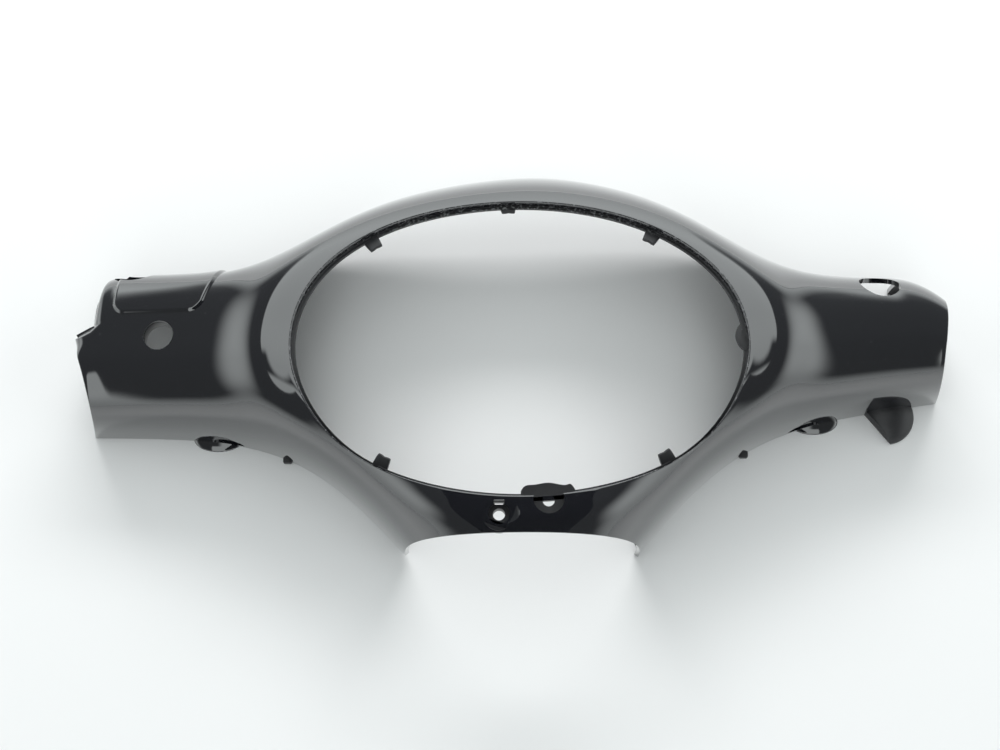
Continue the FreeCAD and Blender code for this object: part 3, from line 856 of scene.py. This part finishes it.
    def build(self) -> bpy.types.Object:
        """Rolls a flat grid up into the closed wall of the shell."""
        points, sides = self.grid()
        count = points.shape[1]
        self.piece = flat_grid("cover_shell", self.columns, count)
        rolled = np.concatenate([points, points[:1]], axis=0)
        rolled = np.concatenate([rolled, rolled[:, :1]], axis=1)
        move_points(self.piece, rolled.transpose(1, 0, 2))
        dress(self.piece, GLOSS, RAW, CLIP)
        mesh = self.piece.data
        corner = np.empty(len(mesh.loops), dtype=np.int32)
        mesh.loops.foreach_get("vertex_index", corner)
        row = corner.reshape(-1, 4).min(axis=1) // (self.columns + 1)
        mesh.polygons.foreach_set("material_index", sides[row].astype(np.int32))
        pick_only(self.piece)
        bpy.ops.object.mode_set(mode="EDIT")
        bpy.ops.mesh.select_all(action="SELECT")
        bpy.ops.mesh.remove_doubles(threshold=1e-7)
        bpy.ops.object.mode_set(mode="OBJECT")
        point_faces_out(self.piece)
        return self.piece


# Holes and bosses


@dataclass
class Holes:
    """Sight hole, mirror holes, screw seats and lever notches of the shell."""

    sight: Spot = (-181.8, 7.2, 7.6)
    sight_wall: float = 1.8
    collar_depth: float = 9.5
    mirror_radius: float = 10.5
    mirror_length: float = 30.0
    left_mirror: Spot = (-200.0, 33.0, 64.0)
    right_mirror: Spot = (186.1, 41.0, 50.0)
    left_screw: Span = (-10.2, -87.7)
    right_screw: Span = (13.5, -80.6)
    screw_radius: float = 2.9
    dish: Span = (8.7, 1.6)
    seat: Span = (5.1, 3.4)
    slot: Spot = (5.0, 1.8, 5.6)
    slot_length: float = 40.0
    boss_radius: float = 8.0
    boss_starts: Spot = (1.9, 1.6, 1.2)
    pocket_length: float = 20.0
    bore_length: float = 60.0
    recess: Span = (7.4, 4.6)
    recess_wall: float = 2.0
    recess_floor: float = 7.5
    notches: Span = (-158.0, 156.0)
    notch_radius: float = 8.0
    notch_shift: float = 6.0
    notch_length: float = 15.0
    notch_offset: float = 0.5
    notch_clear: Spot = (60.0, 40.0, 40.0)
    lip: Spot = (13.0, 4.5, 2.2)
    lip_root: float = 2.5
    stem_gap: Spot = (172.0, 201.0, 20.0)
    stem_band: Span = (52.0, 24.0)

    @staticmethod
    def skin_at(spot: Span) -> float:
        """Height of the skin over a point of the rear plane."""
        return float(FORM.height(np.array(spot[0]), np.array(spot[1])))

    def mirror_tool(self, name: str, hole: Spot) -> bpy.types.Object:
        """Bar along the leaning axis of a mirror hole."""
        x, height, tilt = hole
        middle, half, depth, power, _ = (float(value) for value in FORM.sections(np.array(x)))
        share = (1.0 - (height / depth) ** power) ** (1.0 / power)
        lean = math.radians(tilt)
        way = Vector((0.0, math.sin(lean), math.cos(lean)))
        return bar(name, self.mirror_radius, self.mirror_length, (x, middle + half * share, height), way)

    def pocket(self, radius: float, spot: Span, depth: float) -> bpy.types.Object:
        """Upright bar that cuts a round pocket of a given depth below the skin."""
        middle = self.skin_at(spot) - depth + 0.5 * self.pocket_length
        return bar("pocket_tool", radius, self.pocket_length, (*spot, middle))

    def bore(self, radius: float, spot: Span) -> bpy.types.Object:
        """Upright bar that cuts a hole right through the wall."""
        return bar("bore_tool", radius, self.bore_length, (*spot, self.skin_at(spot)))

    def open_in(self, shell: bpy.types.Object) -> None:
        """Cuts all holes into the shell."""
        cut_away(shell, self.bore(self.sight[2], self.sight[:2]))
        cut_away(shell, self.mirror_tool("left_mirror_tool", self.left_mirror))
        cut_away(shell, self.mirror_tool("right_mirror_tool", self.right_mirror))
        self.open_left_screw(shell)
        cut_away(shell, self.pocket(self.recess[0], self.right_screw, self.recess[1]))
        for station in self.notches:
            cut_away(shell, self.notch_tool(station))
        cut_away(shell, self.stem_notch())

    def open_left_screw(self, shell: bpy.types.Object) -> None:
        """Cuts the dish, the round seat and the slot of the left screw."""
        top = self.skin_at(self.left_screw)
        radius, depth = self.dish
        size = (radius**2 + depth**2) / (2.0 * depth)
        middle = (*self.left_screw, top - depth + size)
        cut_away(shell, ball("dish_tool", (size, size, size), middle, (192, 128)))
        cut_away(shell, self.pocket(self.seat[0], self.left_screw, self.seat[1]))
        cut_away(shell, self.slot_tool(top))

    def slot_tool(self, top: float) -> bpy.types.Object:
        """Block that cuts the slot beside the left screw."""
        x, y = self.left_screw
        place = Matrix.Translation(Vector((x, y + self.slot[2], top)) * MM)
        return block("slot_tool", (self.slot[0], self.slot[1], self.slot_length), place)

    def notch_tool(self, station: float) -> bpy.types.Object:
        """Half round bar that cuts a lever notch above its lip, towards the middle of the cover."""
        station = station - math.copysign(self.notch_shift, station)
        middle = (station, FORM.lower_edge(station) - self.notch_offset, self.lip[2])
        tool = bar("notch_tool", self.notch_radius, self.notch_length, middle, Vector((0.0, 1.0, 0.0)))
        place = Matrix.Translation(Vector((station, middle[1], self.lip[2] - 0.5 * self.notch_clear[2])) * MM)
        cut_away(tool, block("notch_floor", self.notch_clear, place))
        return tool

    def stem_notch(self) -> bpy.types.Object:
        """Block that clears the rear edge behind the right mirror stem."""
        left, right, height = self.stem_gap
        middle, width = self.stem_band
        place = Matrix.Translation(Vector((0.5 * (left + right), middle, 0.0)) * MM)
        return block("stem_tool", (right - left, width, 2.0 * height), place)

    def bosses(self) -> list[bpy.types.Object]:
        """Screw boss, recess cup and sight collar behind the skin."""
        return [self.screw_boss(), self.recess_cup(), self.sight_collar()]

    def screw_boss(self) -> bpy.types.Object:
        """Round boss with the seat and the bore of the left screw."""
        x, y = self.left_screw
        top = self.skin_at(self.left_screw)
        start = self.boss_starts[0]
        length = self.collar_depth - start
        boss = bar("screw_boss", self.boss_radius, length, (x, y, top - start - 0.5 * length))
        cut_away(boss, self.pocket(self.seat[0], self.left_screw, self.seat[1]))
        cut_away(boss, self.bore(self.screw_radius, self.left_screw))
        cut_away(boss, self.slot_tool(top))
        soften(boss, 0.25)
        dress(boss, RAW)
        return boss

    def recess_cup(self) -> bpy.types.Object:
        """Cup under the right screw, open towards the lamp opening."""
        x, y = self.right_screw
        top = self.skin_at(self.right_screw)
        radius, depth = self.recess
        start = self.boss_starts[1]
        length = self.recess_floor - start
        cup = bar("recess_cup", radius + self.recess_wall, length, (x, y, top - start - 0.5 * length))
        cut_away(cup, self.pocket(radius, self.right_screw, depth))
        cut_away(cup, self.bore(self.screw_radius, self.right_screw))
        cut_away(cup, opening_column(0.3))
        soften(cup, 0.25)
        dress(cup, CLIP)
        return cup

    def sight_collar(self) -> bpy.types.Object:
        """Short tube behind the sight hole."""
        x, y, radius = self.sight
        top = self.skin_at((x, y))
        start = self.boss_starts[2]
        length = self.collar_depth - start
        collar = bar("sight_collar", radius + self.sight_wall, length, (x, y, top - start - 0.5 * length))
        cut_away(collar, self.bore(radius, (x, y)))
        soften(collar, 0.3)
        dress(collar, GLOSS)
        return collar

    def lips(self) -> list[bpy.types.Object]:
        """Almond shaped shelves that close the lever notches at the rear edge."""
        half_width, reach, thickness = self.lip
        shelves = []
        for side, station in zip(("left", "right"), self.notches):
            middle = (station, FORM.lower_edge(station) + 0.5 * reach, 0.0)
            shelf = ball(side + "_lip", (half_width, reach + self.lip_root, thickness), middle, (96, 48))
            slice_off(shelf, Vector(), Vector((0.0, 0.0, -1.0)), True)
            dress(shelf, GLOSS)
            shelves.append(shelf)
        return shelves


# Fittings on the rim of the opening


@dataclass
class RimFittings:
    """Clip tabs, the half moon lug and the screw lug on the ledge of the lamp opening."""

    tab_width: float = 7.6
    tab_reach: float = 7.4
    tab_taper: Span = (1.06, 0.2)
    tab_thinning: float = 0.35
    tab_root: float = 0.5
    tip_half_width: float = 0.4
    tip_share: float = 0.9
    tab_turns: tuple = (132.4, 52.2, 232.3, 310.7)
    top_tab: Span = (92.8, 4.0)
    depth: float = 6.0
    thickness: float = 2.2
    side_lug: Spot = (4.5, 9.0, 5.5)
    lug: Spot = (13.5, 26.5, 5.2)
    lug_root: Span = (2.5, 1.5)
    lug_wave: Span = (0.5, 3.4)
    lug_corner: Span = (4.0, 8.0)
    lug_tip: Spot = (0.9, 0.4, 0.06)

    def rim_frame(self, angle: float, reach: float) -> Matrix:
        """Local frame of a tab: X into the opening, Y along the rim, Z out of the front.

        Args:
            angle: Place on the rim in degrees.
            reach: How far the tab sticks into the opening.

        Returns:
            Frame at the middle of the tab.
        """
        turn = np.array(math.radians(angle))
        outer = FORM.below(*FORM.opening_line(turn, self.tab_root), self.depth)
        inner = FORM.below(*FORM.opening_line(turn, -reach), self.depth)
        inward = Vector(inner - outer).normalized()
        along = Vector((0.0, 0.0, 1.0)).cross(inward).normalized()
        up = inward.cross(along)
        turned = Matrix((inward, along, up)).transposed().to_4x4()
        return Matrix.Translation(Vector(0.5 * (inner + outer)) * MM) @ turned

    def tab(self, name: str, angle: float, reach: float) -> bpy.types.Object:
        """One clip tab with a narrower, slightly thinned tip and soft edges."""
        bpy.ops.object.select_all(action="DESELECT")
        bpy.ops.mesh.primitive_cube_add(size=MM)
        piece = named(name)
        piece.scale = (reach + self.tab_root, self.tab_width, self.thickness)
        settle(piece)
        pick_only(piece)
        bpy.ops.object.mode_set(mode="EDIT")
        mesh = bmesh.from_edit_mesh(piece.data)
        bmesh.ops.subdivide_edges(mesh, edges=mesh.edges[:], cuts=3, use_grid_fill=True)
        for point in mesh.verts:
            share = point.co.x / ((reach + self.tab_root) * MM) + 0.5
            point.co.y *= self.tab_taper[0] - self.tab_taper[1] * share * share
            if point.co.z > 0.0:
                point.co.z -= self.tab_thinning * MM * share * share
            if abs(point.co.y) < self.tip_half_width * MM and share > self.tip_share:
                point.co.x -= self.tab_thinning * MM
        bmesh.update_edit_mesh(piece.data)
        bpy.ops.object.mode_set(mode="OBJECT")
        soften(piece, 0.3)
        piece.matrix_world = self.rim_frame(angle, reach)
        settle(piece)
        dress(piece, CLIP)
        return piece

    def half_moon(self) -> bpy.types.Object:
        """Half moon lug at the right side of the opening."""
        y, radius, reach = self.side_lug
        middle_x = FORM.opening[0] + radius - reach
        edge = FORM.below(np.array(FORM.opening[0] - 2.0), np.array(y), self.depth)
        piece = bar("side_lug", radius, self.thickness, (middle_x, y, float(edge[2])))
        keep_inside(piece, opening_column(0.8))
        soften(piece, 0.3)
        dress(piece, CLIP)
        return piece

    def screw_lug(self) -> bpy.types.Object:
        """Plate under the right screw, with a wavy free edge."""
        x, width, reach = self.lug
        low = -FORM.opening[1] - self.lug_root[0]
        high = -FORM.opening[1] + reach + self.lug_root[1]
        across, rows = 54, 20
        piece = flat_grid("screw_lug", across, rows)
        u, v = np.meshgrid(np.linspace(-0.5, 0.5, across + 1), np.linspace(0.0, 1.0, rows + 1))
        wave = self.lug_wave[0] * np.cos(u * self.lug_wave[1] * math.pi)
        wave = wave - self.lug_corner[0] * np.abs(2.0 * u) ** self.lug_corner[1]
        rise, place, width_share = self.lug_tip
        wave = wave + rise * np.exp(-(((u - place) / width_share) ** 2))
        plan_x = x + width * u
        plan_y = low + (high - low) * v + wave * v * v
        places = FORM.below(plan_x, plan_y, self.depth - 0.5 * self.thickness)
        move_points(piece, places)
        apply_modifier(piece, "SOLIDIFY", thickness=self.thickness * MM, offset=-1.0)
        seat = Holes()
        cut_away(piece, seat.bore(seat.screw_radius, seat.right_screw))
        soften(piece, 0.25)
        dress(piece, CLIP)
        return piece

    def build(self) -> list[bpy.types.Object]:
        """Models all fittings of the rim."""
        pieces = []
        for index, angle in enumerate(self.tab_turns, start=1):
            pieces.append(self.tab("clip_tab_%d" % index, angle, self.tab_reach))
        pieces.append(self.tab("clip_tab_top", *self.top_tab))
        pieces.append(self.half_moon())
        pieces.append(self.screw_lug())
        return pieces


# Arm ends and the lower edge


@dataclass
class ArmEnds:
    """Closed end, shoulder and raised pad of the left arm, and the lever guard of the right arm."""

    wall: float = 2.5
    inset: float = 6.0
    foot_inset: float = 0.3
    inset_run: float = 9.0
    wall_overlap: float = 2.0
    shoulder_run: Span = (2.0, 9.6)
    pad_rise: float = 1.3
    pad_left: float = -206.5
    pad_right: float = -161.0
    pad_bottom: float = 19.4
    pad_lean: float = 17.0
    pad_corner: float = 6.0
    pad_slope: float = 1.6
    pad_border: float = 1.5
    pad_middle: float = -185.0
    pad_wall: float = 1.6
    guard_x: float = 194.0
    guard_radius: float = 15.5
    guard_drop: float = 2.5
    guard_flat: float = 0.5
    guard_root: float = 2.0
    guard_side: float = 10.0
    guard_lean: float = 38.0
    clips: Span = (-121.0, 118.0)
    clip: Spot = (4.4, 6.0, 4.0)
    clip_reach: float = 2.0

    def end_wall(self) -> bpy.types.Object:
        """Plate that closes the end of the left bulge."""
        x, y = FORM.step
        station = np.array(x)
        start = float(FORM.around_at(station, np.array(y - self.wall_overlap)))
        around = np.linspace(start, math.pi, 60)
        skin = FORM.point(np.full_like(around, x), around)
        out = FORM.outward(np.full_like(around, x), around)
        out[:, 0] = 0.0
        out = out / np.linalg.norm(out, axis=1, keepdims=True)
        share = ease((len(around) - 1 - np.arange(len(around))) / self.inset_run)
        line = skin - out * (self.foot_inset + (self.inset - self.foot_inset) * share)[:, None]
        line[-1, 2] = 0.0
        line = np.vstack([line, [[x, line[0, 1], 0.0]]])
        bpy.ops.object.select_all(action="DESELECT")
        bpy.ops.mesh.primitive_circle_add(vertices=len(line), radius=MM, fill_type="NGON")
        piece = named("left_end_wall")
        move_points(piece, line)
        apply_modifier(piece, "SOLIDIFY", thickness=self.wall * MM, offset=0.0)
        piece.location.x = 0.5 * self.wall * MM
        settle(piece)
        point_faces_out(piece)
        dress(piece, GLOSS)
        return piece

    def shoulder(self) -> bpy.types.Object:
        """Sloping wall between the bulge's end and the collar."""
        along, rows = 10, 24
        piece = flat_grid("left_shoulder", along, rows)
        u, v = np.meshgrid(np.linspace(0.0, 1.0, along + 1), np.linspace(0.0, 1.0, rows + 1))
        x = FORM.step[0] + self.shoulder_run[0] - self.shoulder_run[1] * u
        y = FORM.step[1] - (FORM.step[0] - x) / FORM.step_run
        y = np.minimum(y, FORM.step[1])
        z = v * (FORM.height(x, y) - self.inset)
        move_points(piece, np.stack([x, y, z], axis=-1))
        apply_modifier(piece, "SOLIDIFY", thickness=self.wall * MM, offset=1.0)
        point_faces_out(piece)
        soften(piece, 0.3)
        dress(piece, GLOSS)
        return piece

    def pad_distance(self, x: np.ndarray, y: np.ndarray) -> np.ndarray:
        """Distance inside the outline of the raised pad, negative outside it."""
        lean = math.radians(self.pad_lean)
        left = x - self.pad_left
        right = (self.pad_right - x) * math.cos(lean) + (y - self.pad_bottom) * math.sin(lean)
        low = y - self.pad_bottom
        radius = self.pad_corner
        side = np.minimum(left, right)
        rounded = radius - np.hypot(np.minimum(side - radius, 0.0), np.minimum(low - radius, 0.0))
        return np.where((side < radius) & (low < radius), rounded, np.minimum(side, low))

    def pad(self) -> bpy.types.Object:
        """Raised pad round the left mirror hole, with a soft slope all round."""
        across, rows = 110, 130
        piece = flat_grid("mirror_pad", across, rows)
        u, v = np.meshgrid(np.linspace(0.0, 1.0, across + 1), np.linspace(0.0, 1.0, rows + 1))
        lean = math.tan(math.radians(self.pad_lean))
        border = self.pad_border
        foot = np.array(self.pad_bottom - border)
        start = FORM.around_at(np.array(self.pad_middle), foot)
        around = start + (math.pi - start) * v
        middle = FORM.point(np.full_like(around, self.pad_middle), around)[..., 1]
        right = self.pad_right + (middle - self.pad_bottom) * lean + border
        x = self.pad_left - border + (right - self.pad_left + border) * u
        base = FORM.point(x, around)
        inside = np.clip(self.pad_distance(base[..., 0], base[..., 1]) / self.pad_slope + 0.2, -0.5, 1.0)
        rise = np.where(inside > 0.0, ease(inside), inside)
        places = base + FORM.outward(x, around) * (self.pad_rise * rise)[..., None]
        move_points(piece, places)
        apply_modifier(piece, "SOLIDIFY", thickness=self.pad_wall * MM, offset=-1.0)
        point_faces_out(piece)
        holes = Holes()
        cut_away(piece, holes.mirror_tool("left_mirror_tool", holes.left_mirror), folded=True)
        dress(piece, GLOSS)
        return piece

    def guard(self) -> bpy.types.Object:
        """Round hollow lever guard under the right arm."""
        middle = Vector((self.guard_x, FORM.lower_edge(self.guard_x) - self.guard_drop, 0.0))
        radius = self.guard_radius
        piece = ball("lever_guard", (radius, radius, radius * self.guard_flat), middle, (96, 64))
        lean = math.radians(self.guard_lean)
        side = Vector((-math.cos(lean), -math.sin(lean), 0.0))
        slice_off(piece, middle - Vector((self.guard_side, 0.0, 0.0)), side, True)
        slice_off(piece, middle, Vector((0.0, 0.0, -1.0)), False)
        top = middle + Vector((0.0, self.guard_drop + self.guard_root, 0.0))
        slice_off(piece, top, Vector((0.0, 1.0, 0.0)), False)
        apply_modifier(piece, "SOLIDIFY", thickness=self.wall * MM, offset=-1.0)
        point_faces_out(piece)
        soften(piece, 0.4)
        dress(piece, RAW)
        return piece

    def locating_clips(self) -> list[bpy.types.Object]:
        """Small locating blocks that peek out under the lower edge."""
        pieces = []
        for side, station in zip(("left", "right"), self.clips):
            width, length, height = self.clip
            low = FORM.lower_edge(station) - self.clip_reach
            place = Matrix.Translation(Vector((station, low + 0.5 * length, 0.5 * height)) * MM)
            piece = block(side + "_locating_clip", (width, length, height), place)
            soften(piece, 0.7)
            dress(piece, CLIP)
            pieces.append(piece)
        return pieces

    def build(self) -> list[bpy.types.Object]:
        """Models everything at the arm ends and along the lower edge."""
        return [self.end_wall(), self.shoulder(), self.pad(), self.guard(), *self.locating_clips()]


# Studio


@dataclass
class Studio:
    """Pale floor, light tent with a dark patch on each side, soft key light and the camera."""

    floor_colour: Spot = (0.86, 0.86, 0.86)
    floor_size: float = 8.0
    floor_height: float = -0.0003
    tent_level: Span = (0.92, 1.42)
    tent_edge: Span = (0.0, 0.5)
    dark_level: float = 0.12
    patch_start: Span = (0.1, 0.2)
    patch_end: Span = (0.62, 0.85)
    patch_middle: float = -0.06
    patch_half: Span = (0.2, 1.3)
    patch_turn: Span = (0.28, 0.4)
    patch_fade: Span = (0.6, 1.25)
    patch_height: Span = (-0.05, 0.3)
    flag_colour: Spot = (0.02, 0.02, 0.022)
    flag_size: Span = (0.16, 0.36)
    flag_place: Spot = (0.0, -0.29, 0.24)
    back_gain: float = 0.4
    tint: Spot = (0.95, 1.0, 1.0)
    key_place: Spot = (0.0, 1.4, 0.86)
    key_aim: Spot = (0.0, 0.0, 0.03)
    key_size: Span = (1.6, 0.35)
    key_power: float = 20.0
    target: Spot = (-9.7, -9.2, 35.0)
    elevation: float = 73.0
    distance: float = 750.0
    lens: float = 52.94

    def floor(self) -> bpy.types.Object:
        """Large pale floor under the cover."""
        bpy.ops.object.select_all(action="DESELECT")
        bpy.ops.mesh.primitive_grid_add(x_subdivisions=8, y_subdivisions=8, size=self.floor_size)
        piece = named("floor")
        piece.location.z = self.floor_height
        settle(piece)
        piece.data.materials.append(self.plain("pale_floor", self.floor_colour, 0.85, 0.2))
        return piece

    @staticmethod
    def plain(name: str, colour: Spot, roughness: float, gleam: float) -> bpy.types.Material:
        """Plain material of a thing that only serves the picture."""
        material = bpy.data.materials.new(name)
        material.use_nodes = True
        shader = material.node_tree.nodes["Principled BSDF"]
        shader.inputs["Base Color"].default_value = (*colour, 1.0)
        shader.inputs["Roughness"].default_value = roughness
        shader.inputs["Specular IOR Level"].default_value = gleam
        return material

    def world(self) -> None:
        """Light tent that is bright all round, with a dark patch on each side."""
        world = bpy.data.worlds.new("light_tent")
        bpy.context.scene.world = world
        world.use_nodes = True
        tree = world.node_tree
        place = tree.nodes.new("ShaderNodeTexCoord")
        way = tree.nodes.new("ShaderNodeSeparateXYZ")
        tree.links.new(place.outputs["Generated"], way.inputs["Vector"])
        aside = math_node(tree, "ABSOLUTE", way.outputs["X"])
        bright = map_node(tree, way.outputs["Z"], self.tent_edge, self.tent_level, "SMOOTHSTEP")
        dark = self.side_patch(tree, aside, way)
        fall = math_node(tree, "SUBTRACT", self.dark_level, bright)
        level = math_node(tree, "MULTIPLY_ADD", dark, fall, bright)
        behind = math_node(tree, "MAXIMUM", way.outputs["Y"], 0.0)
        gain = math_node(tree, "MULTIPLY_ADD", behind, self.back_gain, 1.0)
        strength = math_node(tree, "MULTIPLY", level, gain)
        tree.links.new(strength, tree.nodes["Background"].inputs["Strength"])
        tree.nodes["Background"].inputs["Color"].default_value = (*self.tint, 1.0)

    def side_patch(
        self, tree: bpy.types.NodeTree, aside: bpy.types.NodeSocket, way: bpy.types.Node
    ) -> bpy.types.NodeSocket:
        """Mask of the two dark patches that the arms show, one on each side of a bright strip."""
        start = map_node(tree, aside, self.patch_start, kind="SMOOTHSTEP")
        end = map_node(tree, aside, self.patch_end, (1.0, 0.0), "SMOOTHSTEP")
        half = map_node(tree, aside, self.patch_turn, self.patch_half, "SMOOTHSTEP")
        away = math_node(tree, "ABSOLUTE", math_node(tree, "SUBTRACT", way.outputs["Y"], self.patch_middle))
        away = math_node(tree, "DIVIDE", away, half)
        across = map_node(tree, away, self.patch_fade, (1.0, 0.0), "SMOOTHSTEP")
        high = map_node(tree, way.outputs["Z"], self.patch_height, kind="SMOOTHSTEP")
        sides = math_node(tree, "MULTIPLY", start, end)
        return math_node(tree, "MULTIPLY", sides, math_node(tree, "MULTIPLY", across, high))

    def flag(self) -> bpy.types.Object:
        """Dark card in front of the neck, which only the gloss of the cover shows."""
        bpy.ops.object.select_all(action="DESELECT")
        bpy.ops.mesh.primitive_circle_add(vertices=64, radius=1.0, fill_type="NGON")
        piece = named("neck_flag")
        piece.scale = (*self.flag_size, 1.0)
        piece.location = self.flag_place
        settle(piece)
        piece.data.materials.append(self.plain("dark_card", self.flag_colour, 0.9, 0.5))
        piece.visible_camera = False
        piece.visible_diffuse = False
        piece.visible_shadow = False
        piece.visible_transmission = False
        return piece

    def lamp(self) -> None:
        """Soft rectangular key lamp behind the hood, which faces the cover."""
        bpy.ops.object.light_add(type="AREA", location=self.key_place)
        lamp = bpy.context.object
        lamp.name = "key_lamp"
        lamp.data.shape = "RECTANGLE"
        lamp.data.size, lamp.data.size_y = self.key_size
        lamp.data.energy = self.key_power
        aim = Vector(self.key_aim) - Vector(self.key_place)
        lamp.rotation_euler = aim.to_track_quat("-Z", "Y").to_euler()
        lamp.visible_glossy = False

    def camera(self) -> None:
        """Camera at the height and distance of the photograph."""
        lean = math.radians(self.elevation)
        back = Vector((0.0, -math.cos(lean), math.sin(lean)))
        bpy.ops.object.camera_add(location=(Vector(self.target) + back * self.distance) * MM)
        camera = bpy.context.object
        camera.rotation_euler = (math.pi / 2.0 - lean, 0.0, 0.0)
        camera.data.sensor_fit = "HORIZONTAL"
        camera.data.sensor_width = 36.0
        camera.data.lens = self.lens
        camera.data.clip_start = 0.01
        bpy.context.scene.camera = camera

    def build(self) -> None:
        """Sets up the floor, the lights and the camera."""
        self.floor()
        self.world()
        self.flag()
        self.lamp()
        self.camera()
        bpy.context.scene.view_settings.view_transform = "Standard"


def main() -> None:
    """Builds the cover piece by piece and sets up the studio."""
    logging.basicConfig(level=logging.INFO, format="%(name)s: %(message)s")
    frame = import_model()
    body = next(iter(frame["bodies"]))
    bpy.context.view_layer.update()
    holes = Holes()
    shell = Shell().build()
    holes.open_in(shell)
    pieces = [shell, *holes.bosses(), *holes.lips(), *RimFittings().build(), *ArmEnds().build()]
    for piece in pieces:
        smooth(piece)
        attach(piece, body)
        LOG.info("%s: %d faces", piece.name, len(piece.data.polygons))
    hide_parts("handlebar_cover")
    Studio().build()


if __name__ == "__main__":
    main()
